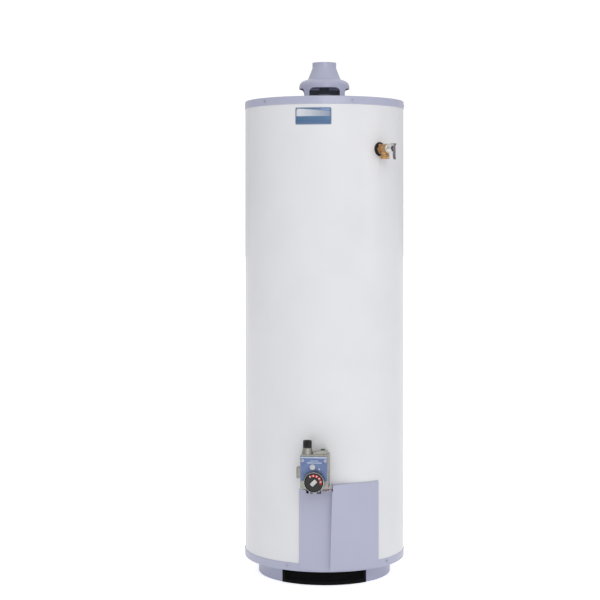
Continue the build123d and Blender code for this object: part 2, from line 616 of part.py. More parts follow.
with BuildPart() as gas_valve_body:
    block(valve_axis, VALVE_W, VALVE_HIGH_Z - VALVE_LOW_Z, VALVE_BACK, VALVE_FRONT,
          (0, BODY_MID_Z), 5.0)
    fillet(gas_valve_body.faces().sort_by(Axis(origin=(0, 0, 0), direction=valve_axis.z_dir))[-1]
           .edges(), 2.0)
    with BuildSketch(valve_up.offset(VALVE_HIGH_Z - 2)) as boss_low:
        with Locations((COCK_X, -COCK_REACH)):
            Circle(17.5)
    with BuildSketch(valve_up.offset(COCK_LOW_Z - GAP)) as boss_high:
        with Locations((COCK_X, -COCK_REACH)):
            Circle(13.6)
    loft([boss_low.sketch, boss_high.sketch])
    with BuildSketch(valve_axis.offset(BUTTON_REACH - 15)) as shoulder:
        with BuildLine():
            Polyline((-3, VALVE_HIGH_Z - 2), (37, VALVE_HIGH_Z - 2), (37, VALVE_HIGH_Z + 9),
                     (33, VALVE_HIGH_Z + 12), (16, VALVE_HIGH_Z + 11), (-3, VALVE_HIGH_Z + 5),
                     close=True)
        make_face()
    extrude(shoulder.sketch, amount=30)
    peg(valve_left, 18.3, VALVE_W / 2 - 1, VALVE_W / 2 + 13.5, (INLET_REACH, INLET_Z))
    peg(valve_left, INLET_BORE_R, VALVE_W / 2 - 6, VALVE_W / 2 + 14, (INLET_REACH, INLET_Z),
        mode=Mode.SUBTRACT)
    peg(valve_axis, 27, VALVE_FRONT - 3, DIAL_BACK - GAP, (DIAL_X, DIAL_Z))
    peg(valve_axis, 5.1, VALVE_FRONT - 14, DIAL_BACK + 1, (DIAL_X, DIAL_Z), mode=Mode.SUBTRACT)
    peg(valve_up, 5.1, VALVE_HIGH_Z - 12, COCK_LOW_Z, (COCK_X, -COCK_REACH), mode=Mode.SUBTRACT)
    peg(valve_up, BUTTON_R + GAP, VALVE_HIGH_Z - 6, VALVE_HIGH_Z + 20,
        (BUTTON_X, -BUTTON_REACH), mode=Mode.SUBTRACT)
    for x, z in ((-34, 402), (34, 402)):
        peg(valve_axis, 2.2, VALVE_FRONT - 10, VALVE_FRONT + 1, (x, z), mode=Mode.SUBTRACT)
save(gas_valve_body, "gas_valve_body")

with BuildPart() as gas_valve_cover:
    block(valve_axis, 81, 73, VALVE_FRONT + SEAM, COVER_FRONT, (0, 377.5), 3.0)
    fillet(gas_valve_cover.faces().sort_by(Axis(origin=(0, 0, 0), direction=valve_axis.z_dir))[-1]
           .edges(), 1.2)
    peg(valve_axis, DIAL_R + 1.2, VALVE_FRONT, COVER_FRONT + 1, (DIAL_X, DIAL_Z), mode=Mode.SUBTRACT)
    for x in (-34, 34):
        peg(valve_axis, 2.3, VALVE_FRONT, COVER_FRONT + 1, (x, 402), mode=Mode.SUBTRACT)
save(gas_valve_cover, "gas_valve_cover")

with BuildPart() as gas_valve_cover_screws:
    for x in (-34, 34):
        peg(valve_axis, 4.2, COVER_FRONT + SEAM, COVER_FRONT + 2.4, (x, 402))
        peg(valve_axis, 2.0, VALVE_FRONT - 8, COVER_FRONT + SEAM, (x, 402))
save(gas_valve_cover_screws, "gas_valve_cover_screws")

CAP_X, CAP_Z = -4.0, 383.0
with BuildPart() as adjuster_caps:
    peg(valve_axis, 8.5, COVER_FRONT + SEAM, COVER_FRONT + 3, (CAP_X, CAP_Z))
    fillet(adjuster_caps.faces().sort_by(Axis(origin=(0, 0, 0), direction=valve_axis.z_dir))[-1]
           .edges(), 1.0)
    peg(valve_axis, 3.0, COVER_FRONT + SEAM, COVER_FRONT + 1.5, (16, 377))
save(adjuster_caps, "adjuster_caps")

with BuildPart() as temperature_dial:
    peg(valve_axis, DIAL_R, DIAL_BACK, DIAL_FRONT - 6, (DIAL_X, DIAL_Z))
    peg(valve_axis, DIAL_R - 5, DIAL_FRONT - 6.1, DIAL_FRONT - 4, (DIAL_X, DIAL_Z))
    with BuildSketch(valve_axis.offset(DIAL_FRONT - 5)) as grip:
        with Locations(Location((DIAL_X, DIAL_Z), 45)):
            SlotOverall(38, 9)
    extrude(grip.sketch, amount=5)
    peg(valve_axis, 5.0, VALVE_FRONT - 12, DIAL_BACK + 1, (DIAL_X, DIAL_Z))
save(temperature_dial, "temperature_dial")

COCK_R = 13.5
cock_at = (COCK_X, -COCK_REACH)
with BuildPart() as gas_cock_knob:
    peg(valve_up, COCK_R, COCK_LOW_Z, COCK_HIGH_Z, cock_at)
    fillet(gas_cock_knob.edges().group_by(Axis.Z)[-1], 1.5)
    with BuildSketch(valve_up.offset(COCK_LOW_Z + 6)) as knob_flutes:
        with Locations(cock_at):
            with PolarLocations(COCK_R + 0.8, 12):
                Circle(2.0)
    extrude(knob_flutes.sketch, amount=30, mode=Mode.SUBTRACT)
    peg(valve_up, 5.0, VALVE_HIGH_Z - 10, COCK_LOW_Z + 0.5, cock_at)
save(gas_cock_knob, "gas_cock_knob")

BUTTON_TRAVEL = 4.0
with BuildPart() as pilot_button:
    peg(valve_up, BUTTON_R, VALVE_HIGH_Z - 6 + BUTTON_TRAVEL + 1, BUTTON_TOP_Z,
        (BUTTON_X, -BUTTON_REACH))
    fillet(pilot_button.edges().group_by(Axis.Z)[-1], 1.2)
save(pilot_button, "pilot_button")

with BuildPart() as thermostat_shank:
    shank_axis = outward(VALVE_ANGLE, SHANK_Z)
    peg(shank_axis, PIPE_R, NECK_NEAR, VALVE_BACK - SEAM)
    peg(shank_axis, 6.0, TANK_R - 128, NECK_NEAR)
save(thermostat_shank, "thermostat_shank")

with BuildPart() as foam_collars:
    for plane, radius, far in ((relief_axis, 21.5, JACKET_R + 2.5), (drain_axis, 21.5, JACKET_R + 2),
                               (shank_axis, 31.5, VALVE_BACK - 0.5)):
        peg(plane, radius, TANK_R + 5, far)
        peg(plane, PIPE_R + SEAM, TANK_R + 4, far + 1, mode=Mode.SUBTRACT)
save(foam_collars, "foam_collars")

# ---- tubes and leads from the control down behind the outer door ----

NUT_REACH = 270.0
NUT_DROP = 6.0
PLUG_REACH = 312.0


def supply_route(x, bend_z, turn_z, low_z, end):
    """Route of a tube: down from the control, in behind the door, down, and in to the burner."""
    return [at_valve(x, VALVE_LOW_Z - SEAM, NUT_REACH), at_valve(x, bend_z, NUT_REACH),
            at_valve(x, turn_z, TUBE_REACH), at_valve(x, low_z, TUBE_REACH), at_valve(*end)]


main_route = supply_route(MAIN_TUBE_X, 304, 289, MANIFOLD_Z, (0.4, MANIFOLD_Z, 11.9))
pilot_route = supply_route(PILOT_TUBE_X, 306, 294, PILOT_Z, (-10, PILOT_Z, PILOT_REACH))
thermo_route = supply_route(THERMO_TUBE_X, 306, 294, THERMO_Z, (-18, THERMO_Z, PILOT_REACH))
main_bends, thin_bends = [8.5, 14, 22], [5, 9, 22]

with BuildPart() as main_gas_tube:
    tube(main_route, main_bends, MAIN_TUBE_R)
    tube(main_route, main_bends, MAIN_TUBE_R - 1.0, mode=Mode.SUBTRACT)
save(main_gas_tube, "main_gas_tube")

with BuildPart() as pilot_gas_tube:
    tube(pilot_route, thin_bends, PILOT_TUBE_R)
save(pilot_gas_tube, "pilot_gas_tube")

with BuildPart() as thermocouple_lead:
    tube(thermo_route, thin_bends, 1.5)
save(thermocouple_lead, "thermocouple_lead")

with BuildPart() as valve_fittings:
    for x, across, tube_r in ((MAIN_TUBE_X, 14, MAIN_TUBE_R), (PILOT_TUBE_X, 9, PILOT_TUBE_R),
                              (THERMO_TUBE_X, 8, 1.5)):
        hexagon(valve_up, across, VALVE_LOW_Z - NUT_DROP, VALVE_LOW_Z - SEAM, (x, -NUT_REACH))
        peg(valve_up, tube_r + SEAM, VALVE_LOW_Z - 7, VALVE_LOW_Z, (x, -NUT_REACH),
            mode=Mode.SUBTRACT)
    for x in (-20.5, 12.5):
        hexagon(valve_up, 11, VALVE_LOW_Z - NUT_DROP, VALVE_LOW_Z - SEAM, (x, -PLUG_REACH))
save(valve_fittings, "valve_fittings")

SWITCH_X, SWITCH_Z = 48.0, 200.0
LEAD_R = 2.2
lead_route = [at_valve(24, VALVE_LOW_Z - SEAM, 303), at_valve(24, 307, 303),
              at_valve(43.5, 306, 286), at_valve(56, 315.5, 266), at_valve(60, 296, 252),
              at_valve(58, 258, 241), at_valve(SWITCH_X, 216, 235)]
lead_bends = [4, 12, 10, 16, 30]
with BuildPart() as thermal_switch_lead:
    tube(lead_route, lead_bends, LEAD_R)
save(thermal_switch_lead, "thermal_switch_lead")

# ================= burner chamber =================

burner_up = Plane(origin=(0, 0, 0), x_dir=valve_axis.x_dir, z_dir=(0, 0, 1))
with BuildPart() as burner:
    with BuildSketch(upright()) as burner_half:
        with BuildLine():
            Polyline((0, BURNER_Z + 24), (0, BURNER_Z + 21), (BURNER_R - 8, BURNER_Z + 13),
                     (BURNER_R - 4, BURNER_Z + 8), (26, BURNER_Z), (20, BURNER_Z - 12),
                     (20, BURNER_Z - 20), (24, BURNER_Z - 24), (26, BURNER_Z - 24),
                     (22, BURNER_Z - 19), (22, BURNER_Z - 13), (28, BURNER_Z - 2),
                     (BURNER_R, BURNER_Z + 7), (BURNER_R, BURNER_Z + 10),
                     (BURNER_R - 7, BURNER_Z + 16), close=True)
        make_face()
    revolve(burner_half.sketch, Axis.Z)
save(burner, "burner")

with BuildPart() as orifice_holder:
    block(burner_up, 23, 22, MANIFOLD_Z - 9, MANIFOLD_Z + 8)
    hexagon(burner_up, 11, MANIFOLD_Z + 8, MANIFOLD_Z + 15)
    peg(burner_up, 1.3, MANIFOLD_Z, MANIFOLD_Z + 16, mode=Mode.SUBTRACT)
    tube(main_route, main_bends, MAIN_TUBE_R + SEAM, mode=Mode.SUBTRACT)
save(orifice_holder, "orifice_holder")

with BuildPart() as burner_bracket:
    for side in (-1, 1):
        block(valve_axis, 2, 46, -10, 10, (side * 33, MANIFOLD_Z + 12))
    block(valve_axis, 68, 2, -10, 10, (0, MANIFOLD_Z - 10.2))
save(burner_bracket, "burner_bracket")

with BuildPart() as pilot_burner:
    block(valve_axis, 26, 20, PILOT_REACH - 13, PILOT_REACH - SEAM, (-14, THERMO_Z - 4), 1.5)
    peg(burner_up, 3.5, THERMO_Z + 6, THERMO_Z + 16, (-10, -PILOT_REACH + 7))
    peg(burner_up, 2.0, THERMO_Z + 6, THERMO_Z + 22, (-18, -PILOT_REACH + 7))
save(pilot_burner, "pilot_burner")

with BuildPart() as inner_door_gasket:
    ring_sector(TANK_R + SEAM, TANK_R + 2.2, 75, 242, -19.5, 14.5)
    ring_sector(TANK_R, TANK_R + 3, 86, 230, -15.2, 8.5, mode=Mode.SUBTRACT)
    for angle in INNER_DOOR_SCREWS:
        peg(outward(angle, 158), 2.6, TANK_R - 2, TANK_R + 5, mode=Mode.SUBTRACT)
save(inner_door_gasket, "inner_door_gasket")

GROMMET_X, GROMMET_Z = -8.0, 139.0
GROMMET_W, GROMMET_H = 46.0, 74.0
SIGHT_X, SIGHT_Z = 20.0, 160.0
with BuildPart() as inner_door:
    ring_sector(DOOR_PLATE_IN, DOOR_PLATE_OUT, 75, 242, -19.5, 14.5)
    block(valve_axis, GROMMET_W, GROMMET_H, 200, 250, (GROMMET_X, GROMMET_Z), 3,
          mode=Mode.SUBTRACT)
    peg(valve_axis, 10.2, 200, 250, (SIGHT_X + 10, SIGHT_Z), mode=Mode.SUBTRACT)
    for angle in INNER_DOOR_SCREWS:
        peg(outward(angle, 158), 2.6, TANK_R - 2, TANK_R + 8, mode=Mode.SUBTRACT)
save(inner_door, "inner_door")

with BuildPart() as tube_grommet:
    block(valve_axis, GROMMET_W - 2 * SEAM, GROMMET_H - 2 * SEAM, DOOR_PLATE_IN - 8,
          DOOR_PLATE_OUT + 1, (GROMMET_X, GROMMET_Z), 2.8)
    tube(main_route, main_bends, MAIN_TUBE_R + SEAM, mode=Mode.SUBTRACT)
    tube(pilot_route, thin_bends, PILOT_TUBE_R + SEAM, mode=Mode.SUBTRACT)
    tube(thermo_route, thin_bends, 1.5 + SEAM, mode=Mode.SUBTRACT)
save(tube_grommet, "tube_grommet")

with BuildPart() as sight_glass:
    peg(valve_axis, 10.0, DOOR_PLATE_IN - 4, DOOR_PLATE_OUT + 1, (SIGHT_X + 10, SIGHT_Z))
save(sight_glass, "sight_glass")

with BuildPart() as thermal_switch:
    peg(valve_axis, 12, 232.0, 236.0, (SWITCH_X, SWITCH_Z))
    block(valve_axis, 12, 12, 231.0, 239.0, (SWITCH_X, SWITCH_Z + 8), 1.0)
save(thermal_switch, "thermal_switch")

# ================= outer door and badge =================

DOOR_OUT = DOOR_R + DOOR_WALL
CREASE_LOW_X, CREASE_LOW_Y = 12.5, 270.0
CREASE_HIGH_Y = 286.5
SCOOP_Z = 301.0
NOTCH_Z = 290.0
LEAD_WAY_NEAR, LEAD_WAY_FAR = 250.0, 285.5


def door_section(height, crease_x, crease_y, inset, end_angle):
    """Level section of the raised part: side wall, flat face, and the stretch on the jacket."""
    radius = DOOR_OUT - inset
    x, y = crease_x + inset, crease_y - 1.15 * inset
    reach = hypot(x, y)
    lean = degrees(asin(x / reach))
    touch = radians(lean + degrees(asin((reach ** 2 - radius ** 2) ** 0.5 / reach)))
    end = radians(end_angle)
    middle = (touch + end) / 2
    back = 236.0 - inset
    with BuildSketch(Plane.XY.offset(height)) as level:
        with BuildLine():
            Polyline((x, -back), (x, -y), (radius * sin(touch), -radius * cos(touch)))
            ThreePointArc((radius * sin(touch), -radius * cos(touch)),
                          (radius * sin(middle), -radius * cos(middle)),
                          (radius * sin(end), -radius * cos(end)))
            Polyline((radius * sin(end), -radius * cos(end)), (back * sin(end), -back * cos(end)),
                     (x, -back))
        make_face()
    return level.sketch


def raised_part(low, high, inset, end_angle, mode=Mode.ADD):
    """The raised part of the door as one solid block, leaning in towards its foot."""
    levels = []
    for height in (low, high):
        share = (height - DOOR_LOW_Z) / (DOOR_HIGH_Z - DOOR_LOW_Z)
        crease_x = CREASE_LOW_X + share * (CREASE_X - CREASE_LOW_X)
        crease_y = CREASE_LOW_Y + share * (CREASE_HIGH_Y - CREASE_LOW_Y)
        levels.append(door_section(height, crease_x, crease_y, inset, end_angle))
    loft(levels, ruled=True, mode=mode)


with BuildPart() as outer_door:
    ring_sector(DOOR_R, DOOR_OUT, DOOR_LOW_Z, DOOR_SHOULDER_Z, DOOR_LEFT, 4.9)
    raised_part(DOOR_LOW_Z, DOOR_HIGH_Z, 0, DOOR_RIGHT)
    raised_part(DOOR_LOW_Z - 1, DOOR_HIGH_Z - DOOR_WALL, DOOR_WALL, DOOR_RIGHT + 2,
                mode=Mode.SUBTRACT)
    peg(Plane.XY, DOOR_R, DOOR_LOW_Z - 1, DOOR_HIGH_Z - DOOR_WALL, mode=Mode.SUBTRACT)
    peg(Plane.XY, JACKET_R + 0.8, DOOR_LOW_Z, DOOR_HIGH_Z + 1, mode=Mode.SUBTRACT)
    # scoop under the gas control, notches for the tubes, and a way in for the switch lead
    ring_sector(DOOR_R - 2, DOOR_R + 4, SCOOP_Z, DOOR_HIGH_Z + 1, -15.9, 3.8, mode=Mode.SUBTRACT)
    for x, width in ((MAIN_TUBE_X, 13), (PILOT_TUBE_X, 8), (THERMO_TUBE_X, 8)):
        block(valve_axis, width, 60, 240, 275, (x, NOTCH_Z + 30), 2.0, mode=Mode.SUBTRACT)
    with BuildSketch(Plane.XY.offset(SCOOP_Z)) as lead_way:
        with Locations((CREASE_X - 2, -(LEAD_WAY_NEAR + LEAD_WAY_FAR) / 2)):
            Rectangle(8, LEAD_WAY_FAR - LEAD_WAY_NEAR)
    extrude(lead_way.sketch, amount=DOOR_HIGH_Z - DOOR_WALL - SCOOP_Z, mode=Mode.SUBTRACT)
save(outer_door, "outer_door")

with BuildPart() as badge:
    ring_sector(JACKET_R + SEAM, JACKET_R + 1.8, 1415.5, 1467, -21.2, 3.9)
save(badge, "badge")
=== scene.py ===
import json
from math import acos, asin, cos, degrees, hypot, pi, radians, sin, sqrt

import bmesh
import bpy
from mathutils import Matrix, Vector


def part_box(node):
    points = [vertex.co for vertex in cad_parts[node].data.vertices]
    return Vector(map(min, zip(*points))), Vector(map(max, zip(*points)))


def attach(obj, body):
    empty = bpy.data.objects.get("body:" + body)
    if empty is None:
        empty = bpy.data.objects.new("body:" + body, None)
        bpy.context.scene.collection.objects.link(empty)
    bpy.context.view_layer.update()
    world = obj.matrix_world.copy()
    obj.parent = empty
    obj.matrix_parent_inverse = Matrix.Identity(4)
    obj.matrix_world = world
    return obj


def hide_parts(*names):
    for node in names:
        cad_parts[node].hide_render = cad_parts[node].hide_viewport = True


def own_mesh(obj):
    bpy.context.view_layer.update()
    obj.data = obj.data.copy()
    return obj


bl_info = {
    "name": "Tank Water Heater",
    "version": (1, 0, 0),
    "blender": (4, 5, 0),
    "location": "View3D > Sidebar > Water Heater",
    "description": "Builds the visible shells, fittings and finishes of a gas tank water heater",
    "category": "Object",
}

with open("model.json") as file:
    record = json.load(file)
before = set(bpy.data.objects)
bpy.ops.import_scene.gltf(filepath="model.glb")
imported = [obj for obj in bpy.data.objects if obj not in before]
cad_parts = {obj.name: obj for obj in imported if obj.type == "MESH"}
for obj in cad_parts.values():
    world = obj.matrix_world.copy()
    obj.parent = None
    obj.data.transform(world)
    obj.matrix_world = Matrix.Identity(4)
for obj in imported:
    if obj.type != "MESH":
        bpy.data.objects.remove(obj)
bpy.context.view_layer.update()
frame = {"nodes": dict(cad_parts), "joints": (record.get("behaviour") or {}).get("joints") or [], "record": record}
MM = 0.001


# ------------------------------------------------------------------
# The frame's own sizes, in millimetres.  Angles round the tank are in
# degrees from the front, growing towards +X.
# ------------------------------------------------------------------

def low(node):
    """Lowest corner of a node's box, in millimetres."""
    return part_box(node)[0] / MM


def high(node):
    """Highest corner of a node's box, in millimetres."""
    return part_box(node)[1] / MM


def joint(name):
    """A joint of the frame, by its name."""
    return next(j for j in frame["joints"] if j["name"] == name)


def around(vector):
    """Angle round the tank of a direction."""
    flat = Vector((vector[0], vector[1])).normalized()
    return degrees(acos(max(-1.0, min(1.0, -flat.y)))) * (1 if flat.x >= 0 else -1)


JACKET_R = high("jacket").x
PAN_R = high("top_pan").x
TOP_Z = high("top_pan").z
FOOT_Z = high("base_ring").z
FOOT_R = high("base_ring").x
VALVE_LOW = low("valve_fittings").z + 6.0
HOOD_TOP = high("draft_hood").z
VALVE_ANGLE = around(joint("dial_turn")["axis"])
RELIEF_ANGLE = around(joint("relief_lift")["axis"])
DRAIN_ANGLE = around(joint("drain_lift")["axis"])
RELIEF_Z = (low("relief_stem").z + high("relief_stem").z) / 2
PIN_REACH = Vector(joint("relief_lever_lift")["pos_m"][:2]).length / MM
DRAIN_Z = joint("drain_turn")["pos_m"][2] / MM
DIAL_Z = joint("dial_turn")["pos_m"][2] / MM
DIAL_X = 1.0
SHANK_Z = 365.0
BODY_TOP = 419.0
BUTTON_X, BUTTON_REACH = 25.0, 303.0
BODY_FRONT, COVER_FRONT = 325.0, 329.0
NUT_REACH, TUBE_REACH, PLUG_REACH = 270.0, 243.0, 312.0
MAIN_X, PILOT_X, THERMO_X = 8.0, -15.0, -27.0
NIPPLE_X, ANODE_Y = 101.6, 118.0
TOP_SCREWS = (-47.1, 18.4, 90.0, 162.0, -126.0)
FOOT_SCREWS = (-27.4, 48.6, 121.0, -167.0, -95.0)
HOOD_FEET = (45, 135, 225, 315)
COCK = Vector(joint("gas_cock_turn")["pos_m"]) / MM
DOOR_WALL = 1.3
DOOR_R = PAN_R + 1.0 + DOOR_WALL


# ------------------------------------------------------------------
# Places
# ------------------------------------------------------------------

def facing(angle, height=0.0, reach=0.0):
    """Matrix of a place that looks away from the tank: x to its right, y up, z outwards."""
    a = radians(angle)
    out, right = Vector((sin(a), -cos(a), 0)), Vector((cos(a), sin(a), 0))
    turn = Matrix((right, Vector((0, 0, 1)), out)).transposed().to_4x4()
    return Matrix.Translation(out * reach + Vector((0, 0, height))) @ turn


def standing(x=0.0, y=0.0, z=0.0, turn=0.0):
    """Matrix of an upright place: z up, turned about it."""
    return Matrix.Translation((x, y, z)) @ Matrix.Rotation(radians(turn), 4, "Z")


# ------------------------------------------------------------------
# Outlines, as lists of (x, y)
# ------------------------------------------------------------------

def circle(radius, count=48, at=(0.0, 0.0)):
    return [(at[0] + radius * cos(2 * pi * i / count), at[1] + radius * sin(2 * pi * i / count))
            for i in range(count)]


def hexagon(across, at=(0.0, 0.0)):
    radius = across / sqrt(3)
    return [(at[0] + radius * cos(pi * i / 3), at[1] + radius * sin(pi * i / 3)) for i in range(6)]


def rounded(width, height, radius, at=(0.0, 0.0), steps=6):
    """Rectangle with rounded corners, counter-clockwise."""
    points = []
    for cx, cy, start in ((1, 1, 0), (-1, 1, 90), (-1, -1, 180), (1, -1, 270)):
        for i in range(steps + 1):
            a = radians(start + 90 * i / steps)
            points.append((at[0] + cx * (width / 2 - radius) + radius * cos(a),
                           at[1] + cy * (height / 2 - radius) + radius * sin(a)))
    return points


def strip(start, end, inner, outer, steps):
    """Outline, seen from above, of a strip of a ring between two angles from the front."""
    turns = [radians(start + (end - start) * i / steps) for i in range(steps + 1)]
    edges = [[(r * sin(a), -r * cos(a)) for a in turns] for r in (inner, outer)]
    return edges[0] + edges[1][::-1]


def scalloped(radius, depth, count, hollows, power):
    """Circle with rounded hollows pressed into its rim."""
    points = []
    for i in range(count):
        a = 2 * pi * i / count
        r = radius - depth * max(0.0, cos(hollows * a)) ** power
        points.append((r * cos(a), r * sin(a)))
    return points


def bow(centre, radius, start, end, steps=8):
    """Points of an arc, from one angle to another."""
    return [(centre[0] + radius * cos(radians(start + (end - start) * i / steps)),
             centre[1] + radius * sin(radians(start + (end - start) * i / steps)))
            for i in range(steps + 1)]


# ------------------------------------------------------------------
# Solids, added to a bmesh in millimetres
# ------------------------------------------------------------------

def slab(mesh, outline, near, far, place=Matrix()):
    """Outline raised between two heights along the place's z."""
    rings = [[mesh.verts.new(place @ Vector((x, y, z))) for x, y in outline] for z in (near, far)]
    count = len(outline)
    for i in range(count):
        k = (i + 1) % count
        mesh.faces.new((rings[0][i], rings[0][k], rings[1][k], rings[1][i]))
    mesh.faces.new(rings[0][::-1])
    mesh.faces.new(rings[1])


def stack(mesh, levels, place=Matrix(), ring=False):
    """Solid through outlines of equal count, given as (height, outline); a ring closes on itself."""
    rings = [[mesh.verts.new(place @ Vector((x, y, z))) for x, y in outline]
             for z, outline in levels]
    count = len(rings[0])
    for below, above in zip(rings, rings[1:] + (rings[:1] if ring else [])):
        for i in range(count):
            k = (i + 1) % count
            mesh.faces.new((below[i], below[k], above[k], above[i]))
    if not ring:
        mesh.faces.new(rings[0][::-1])
        mesh.faces.new(rings[-1])


def lathe(mesh, profile, place=Matrix(), segments=64, start=0.0, end=360.0):
    """Closed profile of (radius, height) turned about the place's z."""
    full = abs(end - start - 360) < 1e-6
    steps = segments if full else segments + 1
    rings = []
    for i in range(steps):
        a = radians(start + (end - start) * i / segments)
        rings.append([mesh.verts.new(place @ Vector((r * cos(a), r * sin(a), z)))
                      for r, z in profile])
    count = len(profile)
    for i in range(steps if full else steps - 1):
        here, there = rings[i], rings[(i + 1) % steps]
        for k in range(count):
            m = (k + 1) % count
            if profile[k][0] < 1e-6 and profile[m][0] < 1e-6:
                continue
            mesh.faces.new((here[k], there[k], there[m], here[m]))
    if not full:
        mesh.faces.new(rings[0])
        mesh.faces.new(rings[-1][::-1])


def nut(mesh, across, near, far, place=Matrix(), at=(0.0, 0.0), edge=0.8):
    """Hexagon whose corners are turned down at both ends."""
    small, full = hexagon(across - 1.6 * edge, at), hexagon(across, at)
    stack(mesh, [(near, small), (near + edge * 0.6, full), (far - edge * 0.6, full), (far, small)],
          place)


def threads(mesh, radius, near, far, pitch, place=Matrix(), depth=0.7, segments=32):
    """Thread crests as closed ridges on a pipe's outside."""
    turns = int((far - near) / pitch)
    profile = [(radius - depth, near)]
    for i in range(turns):
        z = near + i * pitch
        profile += [(radius, z + 0.30 * pitch), (radius, z + 0.45 * pitch),
                    (radius - depth, z + 0.85 * pitch)]
    profile += [(radius - depth, far), (0.5 * radius, far), (0.5 * radius, near)]
    lathe(mesh, profile, place, segments)


def bent_tube(mesh, points, radius, bend, segments=16):
    """Round tube along straight runs joined by arcs, with closed ends."""
    runs = [Vector(p) for p in points]
    path = [runs[0]]
    for before, corner, after in zip(runs, runs[1:], runs[2:]):
        into, away = (before - corner).normalized(), (after - corner).normalized()
        half = into.angle(away) / 2
        back = min(bend / max(0.05, sin(half) / cos(half)),
                   0.48 * (before - corner).length, 0.48 * (after - corner).length)
        for i in range(9):
            t = i / 8
            path.append((1 - t) ** 2 * (corner + into * back) + 2 * t * (1 - t) * corner
                        + t ** 2 * (corner + away * back))
    path.append(runs[-1])
    tube_along(mesh, path, radius, segments)


def tube_along(mesh, path, radius, segments=16):
    """Round tube along close points."""
    side = (path[1] - path[0]).orthogonal().normalized()
    rings = []
    for i, point in enumerate(path):
        ahead = (path[min(i + 1, len(path) - 1)] - path[max(i - 1, 0)]).normalized()
        side = (side - ahead * side.dot(ahead)).normalized()
        up = ahead.cross(side)
        rings.append([mesh.verts.new(point + radius * (cos(2 * pi * k / segments) * side
                                                       + sin(2 * pi * k / segments) * up))
                      for k in range(segments)])
    for here, there in zip(rings, rings[1:]):
        for k in range(segments):
            m = (k + 1) % segments
            mesh.faces.new((here[k], here[m], there[m], there[k]))
    mesh.faces.new(rings[0][::-1])
    mesh.faces.new(rings[-1])


def wrapped(mesh, left, right, bottom, top, inner, outer, columns=40):
    """Plate curved round the tank.  bottom and top give its edges at each distance along it."""
    rows = []
    for i in range(columns + 1):
        s = left + (right - left) * i / columns
        a = s / JACKET_R
        out = Vector((sin(a), -cos(a), 0))
        z_low, z_high = bottom(s), top(s)
        rows.append([mesh.verts.new(out * r + Vector((0, 0, z)))
                     for r, z in ((inner, z_low), (outer, z_low), (outer, z_high), (inner, z_high))])
    for here, there in zip(rows, rows[1:]):
        for k in range(4):
            m = (k + 1) % 4
            mesh.faces.new((here[k], there[k], there[m], here[m]))
    mesh.faces.new(rows[0])
    mesh.faces.new(rows[-1][::-1])


# ------------------------------------------------------------------
# Finishing meshes
# ------------------------------------------------------------------

def filled(build):
    """Shape drawn in millimetres, its doubles merged, faces outwards, scaled to metres."""
    shape = bmesh.new()
    build(shape)
    bmesh.ops.remove_doubles(shape, verts=shape.verts, dist=0.001)
    bmesh.ops.dissolve_degenerate(shape, edges=shape.edges, dist=0.0005)
    bmesh.ops.recalc_face_normals(shape, faces=shape.faces)
    bmesh.ops.scale(shape, vec=(MM, MM, MM), verts=shape.verts)
    return shape


def finished(name, build, body, slot, replaces=(), material=None, crease=35.0, level=0.0):
    """Make a piece from its drawing, round its edges where asked, smooth it and place it."""
    piece = to_object(name, filled(build))
    if level:
        soften(piece, level)
    return settle(piece, body, slot, replaces, material, crease)


def to_object(name, shape):
    mesh = bpy.data.meshes.new(name)
    shape.to_mesh(mesh)
    shape.free()
    piece = bpy.data.objects.new(name, mesh)
    bpy.context.scene.collection.objects.link(piece)
    return piece


def soften(piece, width):
    """Round a piece's sharp edges by a small width in millimetres."""
    rounding = piece.modifiers.new("rounding", "BEVEL")
    rounding.width = width * MM
    rounding.segments = 2
    rounding.limit_method = "ANGLE"
    rounding.angle_limit = radians(40)
    rounding.harden_normals = False
    bake(piece)


def bake(piece):
    """Turn a piece's modifiers into plain mesh."""
    bpy.context.view_layer.update()
    evaluated = piece.evaluated_get(bpy.context.evaluated_depsgraph_get())
    mesh = bpy.data.meshes.new_from_object(evaluated)
    piece.modifiers.clear()
    old, piece.data = piece.data, mesh
    mesh.name = piece.name
    bpy.data.meshes.remove(old)


def cut(piece, build):
    """Take shapes, drawn in millimetres, away from a piece."""
    shape = bmesh.new()
    build(shape)
    bmesh.ops.recalc_face_normals(shape, faces=shape.faces)
    bmesh.ops.scale(shape, vec=(MM, MM, MM), verts=shape.verts)
    tool = to_object("cutter", shape)
    boolean = piece.modifiers.new("cut", "BOOLEAN")
    boolean.operation, boolean.solver, boolean.object = "DIFFERENCE", "EXACT", tool
    boolean.use_self = True
    bake(piece)
    mesh = tool.data
    bpy.data.objects.remove(tool)
    bpy.data.meshes.remove(mesh)


def settle(piece, body, slot, replaces=(), material=None, crease=35.0):
    """Smooth a piece, give it its finish and its body.  Its slot names the usual finish."""
    mesh, material = piece.data, material or finish(slot)
    mesh.polygons.foreach_set("use_smooth", [True] * len(mesh.polygons))
    mesh.set_sharp_from_angle(angle=radians(crease))
    if not mesh.materials:
        mesh.materials.append(material)
    else:
        mesh.materials[0] = material
    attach(piece, body)
    if replaces:
        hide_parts(*replaces)
    return piece


# ------------------------------------------------------------------
# Materials
# ------------------------------------------------------------------

def linear(hex_colour, share=1.0):
    """Linear colour of an sRGB hex value, optionally lighter or darker."""
    values = [int(hex_colour[i:i + 2], 16) / 255 for i in (1, 3, 5)]
    plain = [v / 12.92 if v <= 0.04045 else ((v + 0.055) / 1.055) ** 2.4 for v in values]
    return (*[min(1.0, v * share) for v in plain], 1.0)


